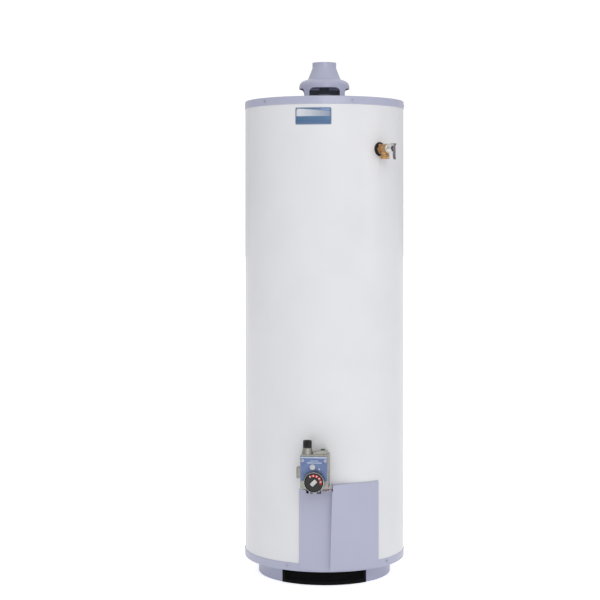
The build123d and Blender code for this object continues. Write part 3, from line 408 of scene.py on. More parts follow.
def add(tree, kind, settings=None, **inputs):
    """Add a node; each input is a value or another node's output.  _ stands for a space."""
    item = tree.nodes.new(kind)
    for key, value in (settings or {}).items():
        setattr(item, key, value)
    for key, value in inputs.items():
        socket = item.inputs[int(key[1:])] if key[1:].isdigit() else item.inputs[key.replace("_", " ")]
        if isinstance(value, bpy.types.NodeSocket):
            tree.links.new(value, socket)
        else:
            socket.default_value = value
    return item


def new_material(name):
    """Empty material with a shader wired to its output."""
    material = bpy.data.materials.new(name)
    material.use_nodes = True
    tree = material.node_tree
    tree.nodes.clear()
    shader = add(tree, "ShaderNodeBsdfPrincipled")
    add(tree, "ShaderNodeOutputMaterial", Surface=shader.outputs[0])
    return material, tree, shader


def place_of(tree, scale=(1.0, 1.0, 1.0), location=(0.0, 0.0, 0.0), rotation=(0.0, 0.0, 0.0)):
    """Object coordinates in metres, moved, turned and scaled."""
    where = add(tree, "ShaderNodeTexCoord")
    mapping = add(tree, "ShaderNodeMapping", Vector=where.outputs["Object"], Scale=scale,
                  Location=location, Rotation=rotation)
    return mapping.outputs[0]


def noise(tree, where, size, detail=4.0, rough=0.5):
    """Soft noise whose lumps are about a size in millimetres across."""
    return add(tree, "ShaderNodeTexNoise", Vector=where, Scale=1000.0 / size, Detail=detail,
               Roughness=rough).outputs["Fac"]


def spread(tree, value, lower, upper, low_in=0.3, high_in=0.7):
    """Spread a value between two numbers."""
    return add(tree, "ShaderNodeMapRange", Value=value, From_Min=low_in, From_Max=high_in,
               To_Min=lower, To_Max=upper).outputs[0]


def blend(tree, factor, first, second):
    """Mix two colours by a factor."""
    mix = add(tree, "ShaderNodeMix", {"data_type": "RGBA"})
    for index, value in ((0, factor), (6, first), (7, second)):
        if isinstance(value, bpy.types.NodeSocket):
            tree.links.new(value, mix.inputs[index])
        else:
            mix.inputs[index].default_value = value
    return mix.outputs[2]


def math(tree, operation, first, second=0.5):
    return add(tree, "ShaderNodeMath", {"operation": operation}, _0=first, _1=second).outputs[0]


def bump(tree, shader, height, depth_mm, strength=1.0):
    """Raise a height pattern by a depth in millimetres."""
    lift = add(tree, "ShaderNodeBump", Height=height, Distance=depth_mm * MM, Strength=strength)
    tree.links.new(lift.outputs[0], shader.inputs["Normal"])


def edge_wear(tree, strength=1.0):
    """Factor that is high along a piece's outer edges, from how far its surface bulges."""
    pointed = add(tree, "ShaderNodeNewGeometry").outputs["Pointiness"]
    return spread(tree, pointed, 0.0, strength, 0.52, 0.62)


def enamel(name, colour, roughness=0.22, grain_mm=2.4, coat=0.25, gloss=0.5):
    # Baked enamel on rolled sheet steel: an even, glossy coat with a very slight orange peel,
    # tiny shifts of tone over large areas and faint handling marks in its gloss.
    material, tree, shader = new_material(name)
    where = place_of(tree)
    tone = noise(tree, where, 180, 3)
    tint = blend(tree, spread(tree, tone, 0.0, 1.0), linear(colour, 0.975), linear(colour, 1.02))
    tree.links.new(tint, shader.inputs["Base Color"])
    marks = noise(tree, place_of(tree, (1.0, 1.0, 0.3)), 60, 3, 0.5)
    tree.links.new(spread(tree, marks, roughness - 0.01, roughness + 0.03),
                   shader.inputs["Roughness"])
    shader.inputs["Coat Weight"].default_value = coat
    shader.inputs["Coat Roughness"].default_value = 0.12
    shader.inputs["IOR"].default_value = 1.5
    shader.inputs["Specular IOR Level"].default_value = gloss
    bump(tree, shader, noise(tree, where, grain_mm, 2), 0.006)
    return material


def metal(name, colour, roughness, grain_mm=6.0, cast=0.0, brushed=None, stain_and_shade=None):
    # Bare or plated metal: its colour shifts a little with handling and oxide, its gloss is uneven, and a cast one
    # has a sandy skin while a drawn or brushed one has fine lines. The second colour is a stain on most metals; on
    # the brass it is painted shade, the brass's shaded tone mixed into its patches.
    material, tree, shader = new_material(name)
    where = place_of(tree)
    tone = noise(tree, where, grain_mm, 5, 0.6)
    first, second = linear(colour, 0.86), linear(colour, 1.08)
    # second colour: a stain on most metals; on the brass it is painted shade, its shaded tone
    if stain_and_shade:
        second = linear(stain_and_shade)
    tree.links.new(blend(tree, spread(tree, tone, 0.0, 1.0), first, second),
                   shader.inputs["Base Color"])
    shader.inputs["Metallic"].default_value = 1.0
    lines = tone
    if brushed:
        lines = noise(tree, place_of(tree, brushed), 0.8, 3)
    tree.links.new(spread(tree, lines, roughness - 0.07, roughness + 0.1), shader.inputs["Roughness"])
    if cast:
        bump(tree, shader, noise(tree, where, 0.9, 4, 0.65), cast)
    elif brushed:
        bump(tree, shader, lines, 0.01, 0.5)
    return material


def moulded(name, colour, roughness=0.4, texture_mm=0.7, depth=0.03, wear=0.0):
    # Injection-moulded plastic: even colour with the mould's fine spark texture, and edges
    # that have been rubbed a little lighter.
    material, tree, shader = new_material(name)
    where = place_of(tree)
    tone = spread(tree, noise(tree, where, 14, 3), 0.0, 1.0)
    colours = blend(tree, tone, linear(colour, 0.92), linear(colour, 1.06))
    if wear:
        colours = blend(tree, edge_wear(tree, wear), colours, linear("#9C9C9C"))
    tree.links.new(colours, shader.inputs["Base Color"])
    tree.links.new(spread(tree, noise(tree, where, 9, 4), roughness - 0.05, roughness + 0.08),
                   shader.inputs["Roughness"])
    bump(tree, shader, noise(tree, where, texture_mm, 2), depth)
    return material


def fibrous(name, colour, shade, fibre_mm, depth):
    # Glass or mineral fibre, or closed-cell foam: matt, mottled between two close colours,
    # with a rough surface of fibres or cells.
    material, tree, shader = new_material(name)
    where = place_of(tree)
    cells = add(tree, "ShaderNodeTexVoronoi", Vector=where, Scale=1000.0 / fibre_mm).outputs[0]
    mottled = noise(tree, where, fibre_mm * 6, 6, 0.7)
    tree.links.new(blend(tree, spread(tree, mottled, 0.0, 1.0), linear(colour), linear(shade)),
                   shader.inputs["Base Color"])
    shader.inputs["Roughness"].default_value = 0.9
    bump(tree, shader, math(tree, "ADD", cells, mottled), depth)
    return material


def galvanised(name, colour="#A9AEB2"):
    # Hot-dipped zinc: overlapping crystal spangles, each with its own grey and gloss.
    material, tree, shader = new_material(name)
    where = place_of(tree)
    spangle = add(tree, "ShaderNodeTexVoronoi", Vector=where, Scale=1000.0 / 9)
    grey = add(tree, "ShaderNodeSeparateColor", Color=spangle.outputs["Color"]).outputs[0]
    tree.links.new(blend(tree, grey, linear(colour, 0.78), linear(colour, 1.1)),
                   shader.inputs["Base Color"])
    shader.inputs["Metallic"].default_value = 1.0
    tree.links.new(spread(tree, grey, 0.32, 0.5, 0.0, 1.0), shader.inputs["Roughness"])
    bump(tree, shader, noise(tree, where, 3, 3), 0.02)
    return material


def marked_glass(name):
    # Small borosilicate sight glass: clear, faintly green, a little dusty.
    material, tree, shader = new_material(name)
    dust = noise(tree, place_of(tree), 2, 4)
    tree.links.new(blend(tree, spread(tree, dust, 0.0, 1.0), linear("#DFEDE6"), linear("#F2F7F4")),
                   shader.inputs["Base Color"])
    shader.inputs["Transmission Weight"].default_value = 0.9
    shader.inputs["IOR"].default_value = 1.47
    tree.links.new(spread(tree, dust, 0.03, 0.12), shader.inputs["Roughness"])
    return material


def valve_face(name, origin):
    # Screen-printed aluminium plate: satin blue lacquer with patches of darker print wear, over brushed metal
    # whose lines barely show through.
    material, tree, shader = new_material(name)
    lines = noise(tree, place_of(tree, (0.15, 1.0, 4.0), origin), 2.0, 3)
    blotch = noise(tree, place_of(tree), 22, 4)
    blue = blend(tree, spread(tree, blotch, 0.0, 1.0), linear("#51679A"), linear("#6A7FAE"))
    tree.links.new(blend(tree, spread(tree, lines, 0.0, 0.25), blue, linear("#8B97B5")),
                   shader.inputs["Base Color"])
    tree.links.new(spread(tree, lines, 0.3, 0.42), shader.inputs["Roughness"])
    shader.inputs["Coat Weight"].default_value = 0.3
    shader.inputs["Coat Roughness"].default_value = 0.2
    bump(tree, shader, lines, 0.01, 0.6)
    return material


def badge_face(name):
    # Domed resin over a printed foil: steel blue in its lower half, silver-white fading to grey
    # above, and a curved blue band along the top edge.
    material, tree, shader = new_material(name)
    where = add(tree, "ShaderNodeSeparateXYZ", Vector=add(tree, "ShaderNodeUVMap").outputs[0])
    across, up = where.outputs[0], where.outputs[1]
    part = spread(tree, up, 0.0, 1.0, 0.47, 0.51)
    silver = blend(tree, spread(tree, across, 0.0, 1.0, 0.10, 0.95), linear("#E6E9EF"),
                   linear("#8F9BB0"))
    band = math(tree, "SUBTRACT", up, math(tree, "SUBTRACT", 1.04, math(tree, "MULTIPLY",
                math(tree, "POWER", across, 0.8), 0.20)))
    upper = blend(tree, spread(tree, band, 0.0, 1.0, -0.02, 0.02), silver, linear("#56749F"))
    lower = blend(tree, spread(tree, up, 0.0, 1.0, 0.0, 0.45), linear("#4A6B94"),
                  linear("#557AA0"))
    tree.links.new(blend(tree, part, lower, upper), shader.inputs["Base Color"])
    flake = noise(tree, place_of(tree), 0.8, 2)
    tree.links.new(spread(tree, flake, 0.2, 0.3), shader.inputs["Roughness"])
    shader.inputs["Metallic"].default_value = 0.35
    shader.inputs["Coat Weight"].default_value = 0.8
    shader.inputs["Coat Roughness"].default_value = 0.06
    bump(tree, shader, flake, 0.008)
    return material


def plain_floor(name):
    # Seamless white paper sweep: matt, with barely visible fibre.
    material, tree, shader = new_material(name)
    fibre = noise(tree, place_of(tree), 30, 4)
    tree.links.new(blend(tree, spread(tree, fibre, 0.0, 1.0), linear("#F4F4F5"), linear("#F8F8F9")),
                   shader.inputs["Base Color"])
    shader.inputs["Roughness"].default_value = 0.95
    shader.inputs["Emission Color"].default_value = (1.0, 1.0, 1.0, 1.0)
    seen = add(tree, "ShaderNodeLightPath").outputs["Is Camera Ray"]
    tree.links.new(spread(tree, seen, 0.24, 0.62, 0.0, 1.0), shader.inputs["Emission Strength"])
    return material


FINISHES = {}


def finish(slot):
    return FINISHES[slot]


def mix_finishes():
    """Make every finish once, keyed by the record's slot."""
    look = bpy.context.scene.heater_finish
    FINISHES.update({
        "white_enamel": enamel("white_baked_enamel", as_hex(look.jacket_colour), 0.24),
        "grey_enamel": enamel("lavender_grey_baked_enamel", as_hex(look.trim_colour), 0.30, 2.0, 0.2),
        "black_screen": enamel("black_enamelled_screen", "#060507", 0.6, 1.4, 0.0, 0.15),
        "zinc_steel": metal("zinc_plated_steel", "#B6B8C2", 0.42, 5),
        "raw_steel": metal("hot_rolled_steel", "#5C5E68", 0.55, 24, 0.03, stain_and_shade="#72747E"),
        "galvanised_pipe": galvanised("hot_dipped_galvanised_steel"),
        "foam": fibrous("rigid_polyurethane_foam", "#E7D9A8", "#D3BF86", 3, 0.25),
        "fibreglass": fibrous("glass_fibre_blanket", "#E9C7C8", "#F3E7D9", 2, 0.5),
        "black_foam": fibrous("black_closed_cell_foam", "#1D1D1F", "#2C2C2E", 1.6, 0.15),
        "rubber": moulded("black_rubber", "#1B1B1C", 0.65, 1.0, 0.02),
        "blue_plastic": moulded("blue_polypropylene", "#2D66B8", 0.35),
        "red_plastic": moulded("red_polypropylene", "#B83229", 0.35),
        "grey_plastic": moulded("grey_polypropylene", "#9FA2AA", 0.4),
        "white_plastic": moulded("white_polypropylene", "#E4E4E0", 0.4),
        "magnesium": metal("cast_magnesium", "#A8A9A6", 0.45, 8, 0.04),
        "cast_aluminium": metal("die_cast_aluminium", "#C2C1BA", 0.42, 5, 0.05, stain_and_shade="#A3A198"),
        "valve_cover": valve_face("blue_lacquered_aluminium", (0.0, 0.0, 0.0)),
        "valve_caps": moulded("light_grey_anodised_cap", "#C9CBD0", 0.3, 0.8, 0.02),
        "black_plastic": moulded("black_phenolic", "#0A0A0B", 0.3, 0.9, 0.02, 0.1),
        "green_plastic": moulded("dark_green_nylon", "#1F4A38", 0.38, 0.8, 0.02, 0.2),
        "drawn_aluminium": metal("drawn_aluminium_tube", "#C6C8CA", 0.32, 6, brushed=(9, 9, 0.6)),
        "copper_lead": metal("drawn_copper", "#B9714F", 0.34, 8, stain_and_shade="#8E5A45"),
        "lead_insulation": moulded("wire_insulation", "#A8757F", 0.42, 0.8, 0.01),
        # brass: its second colour is painted shade, its shaded tone mixed in patches by noise
        "brass": metal("forged_brass", "#D9B284", 0.28, 7, 0.02, stain_and_shade="#A87A4C"),
        "dark_fittings": metal("phosphated_steel", "#2F2D2C", 0.5, 4, 0.02),
        "nickel_plate": metal("bright_nickel_plate", "#D9D8D2", 0.16, 9),
        "lever_steel": metal("dulled_stainless_lever", "#8E8B92", 0.34, 6, brushed=(9, 9, 0.8)),
        "handle_plastic": moulded("black_nylon_handwheel", "#232326", 0.5, 1.0, 0.04, 0.3),
        "glass": marked_glass("borosilicate_glass"),
        "badge": enamel("slate_blue_badge_frame", "#5F7596", 0.34, 1.2, 0.3),
    })


def as_hex(colour):
    """sRGB hex text of a colour picked in the panel."""
    return "#" + "".join(f"{round(min(1.0, max(0.0, c)) * 255):02X}" for c in colour[:3])


# ------------------------------------------------------------------
# Geometry Nodes: what repeats
# ------------------------------------------------------------------

def new_tree(name, sizes):
    """Geometry tree with named size inputs; returns the tree and its input node."""
    tree = bpy.data.node_groups.new(name, "GeometryNodeTree")
    tree.is_modifier = True
    tree.interface.new_socket("Geometry", in_out="INPUT", socket_type="NodeSocketGeometry")
    for label, kind in sizes:
        tree.interface.new_socket(label, in_out="INPUT", socket_type=kind)
    tree.interface.new_socket("Geometry", in_out="OUTPUT", socket_type="NodeSocketGeometry")
    return tree, add(tree, "NodeGroupInput")


def close_tree(tree, geometry, material):
    """End a tree with Realize Instances and Set Material."""
    real = add(tree, "GeometryNodeRealizeInstances", Geometry=geometry)
    dressed = add(tree, "GeometryNodeSetMaterial", Geometry=real.outputs[0], Material=material)
    add(tree, "NodeGroupOutput", _0=dressed.outputs[0])


def grown(name, tree, values, mesh=None):
    """Piece made by a geometry tree from its named inputs and, where given, a mesh of points."""
    piece = bpy.data.objects.new(name, mesh or bpy.data.meshes.new(name))
    bpy.context.scene.collection.objects.link(piece)
    grower = piece.modifiers.new("growth", "NODES")
    grower.node_group = tree
    sockets = {s.name: s.identifier for s in tree.interface.items_tree if s.in_out == "INPUT"}
    for label, value in values.items():
        grower[sockets[label]] = value
    bake(piece)
    return piece


def screw_tree(name, material):
    """Screws set on points: each point's own matrix turns its washer head outwards."""
    tree, given = new_tree(name, [("Screw", "NodeSocketObject")])
    head = add(tree, "GeometryNodeObjectInfo", Object=given.outputs["Screw"])
    turn = add(tree, "GeometryNodeInputNamedAttribute", {"data_type": "FLOAT_VECTOR"}, Name="turn")
    rotation = add(tree, "FunctionNodeEulerToRotation", Euler=turn.outputs[0])
    set_down = add(tree, "GeometryNodeInstanceOnPoints", Points=given.outputs["Geometry"],
                   Instance=head.outputs["Geometry"], Rotation=rotation.outputs[0])
    close_tree(tree, set_down.outputs[0], material)
    return tree


def set_screws(name, body, slot, places, draw, replaces=()):
    """One screw, drawn about its own origin, repeated at every place."""
    screw = to_object(name + "_pattern", filled(draw))
    mesh = bpy.data.meshes.new(name)
    mesh.from_pydata([p.to_translation() * MM for p in places], [], [])
    turns = mesh.attributes.new("turn", "FLOAT_VECTOR", "POINT")
    for i, place in enumerate(places):
        turns.data[i].vector = place.to_euler()
    piece = grown(name, screw_tree(name + "_layout", finish(slot)), {"Screw": screw}, mesh)
    pattern = screw.data
    bpy.data.objects.remove(screw)
    bpy.data.meshes.remove(pattern)
    return settle(piece, body, slot, replaces)


def perforation_tree(name, material):
    """Expanded-metal screen: a strip of bars crossing in rows, bent round the base."""
    tree, given = new_tree(name, [("Radius", "NodeSocketFloat"), ("Low", "NodeSocketFloat"),
                                  ("Height", "NodeSocketFloat"), ("Start", "NodeSocketFloat"),
                                  ("Sweep", "NodeSocketFloat"), ("Columns", "NodeSocketInt"),
                                  ("Rows", "NodeSocketInt"), ("Bar", "NodeSocketFloat")])
    grid = add(tree, "GeometryNodeMeshGrid", Size_X=given.outputs["Sweep"],
               Size_Y=given.outputs["Height"], Vertices_X=given.outputs["Columns"],
               Vertices_Y=given.outputs["Rows"])
    curves = add(tree, "GeometryNodeMeshToCurve", Mesh=grid.outputs[0])
    section = add(tree, "GeometryNodeCurvePrimitiveQuadrilateral", Width=given.outputs["Bar"],
                  Height=given.outputs["Bar"])
    place = add(tree, "GeometryNodeInputPosition")
    flat = add(tree, "ShaderNodeSeparateXYZ", Vector=place.outputs[0])
    angle = math(tree, "ADD", math(tree, "ADD", flat.outputs[0], given.outputs["Start"]),
                 math(tree, "MULTIPLY", given.outputs["Sweep"], 0.5))
    x = math(tree, "MULTIPLY", math(tree, "SINE", angle), given.outputs["Radius"])
    y = math(tree, "MULTIPLY", math(tree, "COSINE", angle),
             math(tree, "MULTIPLY", given.outputs["Radius"], -1.0))
    z = math(tree, "ADD", math(tree, "ADD", flat.outputs[1], given.outputs["Low"]),
             math(tree, "MULTIPLY", given.outputs["Height"], 0.5))
    bent = add(tree, "ShaderNodeCombineXYZ", X=x, Y=y, Z=z)
    curved = add(tree, "GeometryNodeSetPosition", Geometry=curves.outputs[0],
                 Position=bent.outputs[0])
    bars = add(tree, "GeometryNodeCurveToMesh", Curve=curved.outputs[0],
               Profile_Curve=section.outputs[0], Fill_Caps=True)
    close_tree(tree, bars.outputs[0], material)
    return tree


def dial_tick_tree(name, material):
    """Marks standing in a fan about the dial's centre."""
    tree, given = new_tree(name, [("Count", "NodeSocketInt"), ("Radius", "NodeSocketFloat"),
                                  ("Start", "NodeSocketFloat"), ("Sweep", "NodeSocketFloat"),
                                  ("Length", "NodeSocketFloat"), ("Width", "NodeSocketFloat")])
    line = add(tree, "GeometryNodeMeshLine", Count=given.outputs["Count"])
    size = add(tree, "ShaderNodeCombineXYZ", X=given.outputs["Length"], Y=given.outputs["Width"],
               Z=0.0006)
    mark = add(tree, "GeometryNodeMeshCube", Size=size.outputs[0])
    which = add(tree, "GeometryNodeInputIndex")
    share = math(tree, "DIVIDE", which.outputs[0],
                 math(tree, "SUBTRACT", given.outputs["Count"], 1.0))
    angle = math(tree, "ADD", given.outputs["Start"],
                 math(tree, "MULTIPLY", share, given.outputs["Sweep"]))
    spot = add(tree, "ShaderNodeCombineXYZ",
               X=math(tree, "MULTIPLY", math(tree, "COSINE", angle), given.outputs["Radius"]),
               Y=math(tree, "MULTIPLY", math(tree, "SINE", angle), given.outputs["Radius"]))
    placed = add(tree, "GeometryNodeSetPosition", Geometry=line.outputs[0],
                 Position=spot.outputs[0])
    turn = add(tree, "FunctionNodeEulerToRotation",
               Euler=add(tree, "ShaderNodeCombineXYZ", Z=angle).outputs[0])
    marks = add(tree, "GeometryNodeInstanceOnPoints", Points=placed.outputs[0],
                Instance=mark.outputs[0], Rotation=turn.outputs[0])
    close_tree(tree, marks.outputs[0], material)
    return tree


# ------------------------------------------------------------------
# Outer shell
# ------------------------------------------------------------------

def draw_jacket(shape):
    """Rolled steel jacket with a lock seam at the back."""
    inner, wall = JACKET_R - 1.0, 1.0
    low_z, high_z = low("jacket").z, high("jacket").z
    lathe(shape, [(inner, low_z), (inner + wall, low_z), (inner + wall, high_z), (inner, high_z)],
          segments=256)
    seam = facing(180)
    slab(shape, [(-7, low_z), (7, low_z), (7, high_z), (-7, high_z)], JACKET_R - 0.4,
         JACKET_R + 0.7, seam)


def draw_jacket_holes(shape):
    """Openings in the jacket: the service door's, and one round each fitting."""
    slab(shape, strip(-16.8, 36.0, 230, 280, 24), FOOT_Z + 30, 303.5)
    for angle, height, radius in ((VALVE_ANGLE, SHANK_Z, 32.0), (RELIEF_ANGLE, RELIEF_Z, 21.8),
                                  (DRAIN_ANGLE, DRAIN_Z, 21.8)):
        slab(shape, circle(radius, 40), 200, 275, facing(angle, height))


def draw_top_pan(shape):
    """Deep-drawn lid: flat top, rolled shoulder and a skirt with a hemmed lower edge."""
    inner = PAN_R - 1.2
    skirt = low("top_pan").z
    profile = [(51.8, TOP_Z - 1.2), (inner - 1.8, TOP_Z - 1.2), (inner, TOP_Z - 3.2),
               (inner, skirt + 0.4), (inner + 0.2, skirt), (PAN_R - 0.2, skirt),
               (PAN_R, skirt + 0.4), (PAN_R, skirt + 2.6), (PAN_R - 0.25, skirt + 3.2),
               (PAN_R - 0.25, TOP_Z - 3.4), (PAN_R - 0.9, TOP_Z - 1.4), (PAN_R - 2.2, TOP_Z - 0.4),
               (PAN_R - 4.2, TOP_Z), (51.8, TOP_Z)]
    lathe(shape, profile, segments=256)


def draw_bottom_pan(shape):
    """Pan that holds the jacket's foot, its lower edge rolled."""
    inner, floor_z, rim = PAN_R - 1.2, low("bottom_pan").z, high("bottom_pan").z
    profile = [(76, floor_z), (PAN_R - 2.4, floor_z), (PAN_R - 0.9, floor_z + 0.7),
               (PAN_R - 0.15, floor_z + 2.4), (PAN_R - 0.25, rim - 3.2), (PAN_R, rim - 2.6),
               (PAN_R, rim - 0.4), (PAN_R - 0.2, rim), (inner + 0.2, rim), (inner, rim - 0.4),
               (inner, floor_z + 1.2), (76, floor_z + 1.2)]
    lathe(shape, profile, segments=256)


def draw_base_ring(shape):
    """Stand: a rolled ring with inturned flanges, open at the front behind the screen."""
    inner = low("base_ring").x * -1 - 9.0
    profile = [(inner, 0), (FOOT_R - 1.0, 0), (FOOT_R, 1.0), (FOOT_R, FOOT_Z - 1.0),
               (FOOT_R - 1.0, FOOT_Z), (inner, FOOT_Z), (inner, FOOT_Z - 1.5),
               (FOOT_R - 1.5, FOOT_Z - 1.5), (FOOT_R - 1.5, 1.5), (inner, 1.5)]
    lathe(shape, profile, segments=192)


def draw_base_window(shape):
    """Air opening in the stand."""
    slab(shape, strip(-36.5, 34.5, FOOT_R - 6, FOOT_R + 4, 20), 8, 42)


def draw_screen_frame(shape):
    """Flat rim round the intake screen."""
    inner, outer = FOOT_R + 0.15, FOOT_R + 1.6
    low_z, high_z = low("air_intake_screen").z, high("air_intake_screen").z
    for start, end, z0, z1 in ((-38.8, 36.7, low_z, 11.0), (-38.8, 36.7, 39.0, high_z),
                               (-38.8, -36.0, 10.5, 39.5), (33.9, 36.7, 10.5, 39.5)):
        profile = [(inner, z0), (outer, z0), (outer, z1), (inner, z1)]
        lathe(shape, profile, segments=48, start=start - 90, end=end - 90)


# ------------------------------------------------------------------
# Draft hood
# ------------------------------------------------------------------

def hood_skin(inset):
    """Spun outline of the hood from collar to foot, (radius, height), inset from its skin."""
    foot_z = low("draft_hood").z
    collar = 38.5 - inset
    points = [(collar, HOOD_TOP), (collar, HOOD_TOP - 17.5)]
    points += [(collar + 0.6, HOOD_TOP - 18.5), (collar + 1.0, HOOD_TOP - 20)]
    points += [(53 - inset - 0.8, 1577.5), (53 - inset + 0.7, 1575.0 - 0.4 * inset)]
    arc = [(58.0, 1573.6), (64.0, 1571.8), (69.5, 1569.6), (74.0, 1566.6), (77.6, 1562.4),
           (79.9, 1557.4), (80.9, 1552.0), (81.0, 1547.0)]
    points += [(r - inset * (0.45 + 0.55 * i / 7), z - inset * (1 - 0.9 * i / 7))
               for i, (r, z) in enumerate(arc)]
    points.append((81.0 - inset, foot_z))
    return points


def draw_hood(shape):
    skin, lining = hood_skin(0.0), hood_skin(1.2)
    lathe(shape, skin + lining[::-1], segments=160)


def draw_hood_windows(shape):
    """Four arched openings, cut straight through along X and along Y."""
    foot_z = low("draft_hood").z
    outline = rounded(97, 1544.5 - foot_z + 30, 13, (0, (1544.5 + foot_z - 30) / 2))
    for angle in (0, 90):
        slab(shape, outline, -120, 120, facing(angle))


def draw_hood_feet(shape):
    """Four bent tabs that the hood is screwed down by."""
    foot_z = low("draft_hood").z
    for angle in HOOD_FEET:
        outline = [(-7.5, 0), (7.5, 0), (7.5, 11), *bow((4.5, 11), 3, 0, 90, 4),
                   *bow((-4.5, 11), 3, 90, 180, 4), (-7.5, 11)]
        slab(shape, outline, foot_z, foot_z + 1.2,
             Matrix.Translation(facing(angle).to_3x3() @ Vector((0, 0, 80))) @ tab_turn(angle))


def tab_turn(angle):
    """Turn of a flat tab whose y points away from the tank and z up."""
    a = radians(angle)
    return Matrix(((cos(a), sin(a), 0, 0), (sin(a), -cos(a), 0, 0), (0, 0, 1, 0), (0, 0, 0, 1)))


# ------------------------------------------------------------------
# Relief valve
# ------------------------------------------------------------------

def relief_place():
    return facing(RELIEF_ANGLE, RELIEF_Z)


def draw_relief_body(shape):
    """Forged angle body: hexagon, barrel, and a threaded outlet that points down."""
    place = relief_place()
    lathe(shape, [(0, 216.5), (12.6, 216.5), (13.35, 218), (13.35, 258), (0, 258)], place, 40)
    nut(shape, 31, 257, 268.5, place, edge=1.2)
    lathe(shape, [(0, 267.5), (14.2, 267.5), (14.6, 269), (15.1, 272), (15.5, 275), (15.5, 292.2),
                  (14.8, 293), (12.5, 293), (12.5, 277), (0, 277)], place, 48)
    outlet = facing(RELIEF_ANGLE, RELIEF_Z, 277) @ Matrix.Rotation(pi / 2, 4, "X")
    lathe(shape, [(0, 2), (13.6, 2), (14.0, 10), (13.3, 15), (13.0, 17.5), (14.2, 19),
                  (14.2, 30.0), (13.6, 31), (12.4, 31), (11.7, 30.2), (11.7, 11), (0, 11)],
          outlet, 48)


def draw_relief_bonnet(shape):
    """Bright cap: knurled band, cone and two ears for the lever's pin."""
    place = relief_place()
    lathe(shape, [(0, 293.15), (14.6, 293.15), (15.5, 294.0), (15.5, 297.2), (14.9, 297.8),
                  (14.9, 299.0), (15.5, 299.6), (15.5, 302.8), (14.6, 304.2), (12.4, 308.2),
                  (10.4, 311.4), (9.5, 313), (4.0, 313), (2.6, 312.4), (2.6, 309.5), (0, 309.5)],
          place, 56)
    for side in (-1, 1):
        ear = place @ Matrix.Translation((side * 6.0 - 1.2, 12.0, PIN_REACH - 3.5)) \
            @ Matrix.Rotation(pi / 2, 4, "Y")
        slab(shape, rounded(14, 9, 4.2), 0, 2.4, ear)


SPRING_NEAR, SPRING_FAR, SPRING_R, SPRING_WIRE, SPRING_PITCH = 279.85, 307.9, 6.8, 0.9, 5.2


def draw_relief_spring(shape):
    """Coil spring that holds the valve's disc on its seat."""
    turns = (SPRING_FAR - SPRING_NEAR) / SPRING_PITCH
    steps = round(turns * 24)
    path = []
    for i in range(steps + 1):
        a = 2 * pi * turns * i / steps
        path.append(relief_place() @ Vector((SPRING_R * cos(a), SPRING_R * sin(a),
                                             SPRING_NEAR + SPRING_PITCH * turns * i / steps)))
    tube_along(shape, path, SPRING_WIRE, 10)


def draw_relief_lever(shape):
    """Pressed strap lever with a rolled edge and a thumb curl."""
    place = relief_place() @ Matrix.Rotation(-pi / 2, 4, "Y")
    # along this place: x points away from the tank, y up, z to the left
    face = [(PIN_REACH + x, y) for x, y in ((1.3, 12.5), (1.3, 6), (1.3, -4), (1.3, -16),
                                            (1.45, -21), (1.9, -26), (2.7, -30), (4.0, -34))]
    back = [(x - 1.5, y) for x, y in face]
    back[-1] = (face[-1][0] - 1.7, face[-1][1] + 0.8)
    widths = (4.5, 4.8, 5.5, 5.5, 5.5, 5.5, 5.3, 4.0)
    rows = [[shape.verts.new(place @ Vector((x, y, z))) for (x, y), z in
             zip((f, f, b, b), (-w, w, w, -w))] for f, b, w in zip(face, back, widths)]
    for here, there in zip(rows, rows[1:]):
        for k in range(4):
            m = (k + 1) % 4
            shape.faces.new((here[k], here[m], there[m], there[k]))
    shape.faces.new(rows[0][::-1])
    shape.faces.new(rows[-1])
    for side in (-1, 1):
        cheek = place @ Matrix.Translation((0, 0, side * 3.7 - 0.8))
        slab(shape, [(PIN_REACH - 1.8, -3.5), (PIN_REACH + 0.6, -3.5), (PIN_REACH + 0.6, 12.0),
                     *bow((PIN_REACH, 12), 3.2, 0, 180, 8), (PIN_REACH - 3.2, 12.0),
                     (PIN_REACH - 2.8, 6)], 0, 1.6, cheek)
    roller = place @ Matrix.Translation((PIN_REACH, 12.0, 0))
    lathe(shape, [(1.56, -4.5), (3.2, -4.5), (3.2, 4.5), (1.56, 4.5)], roller, 28)


# ------------------------------------------------------------------
# Gas control
# ------------------------------------------------------------------

def valve_place(height=0.0, reach=0.0):
    return facing(VALVE_ANGLE, height, reach)


def valve_up(x, height, reach):
    """Upright place given in the control's own directions."""
    spot = valve_place() @ Vector((x, height, reach))
    return Matrix.Translation(spot) @ Matrix.Rotation(radians(VALVE_ANGLE), 4, "Z")


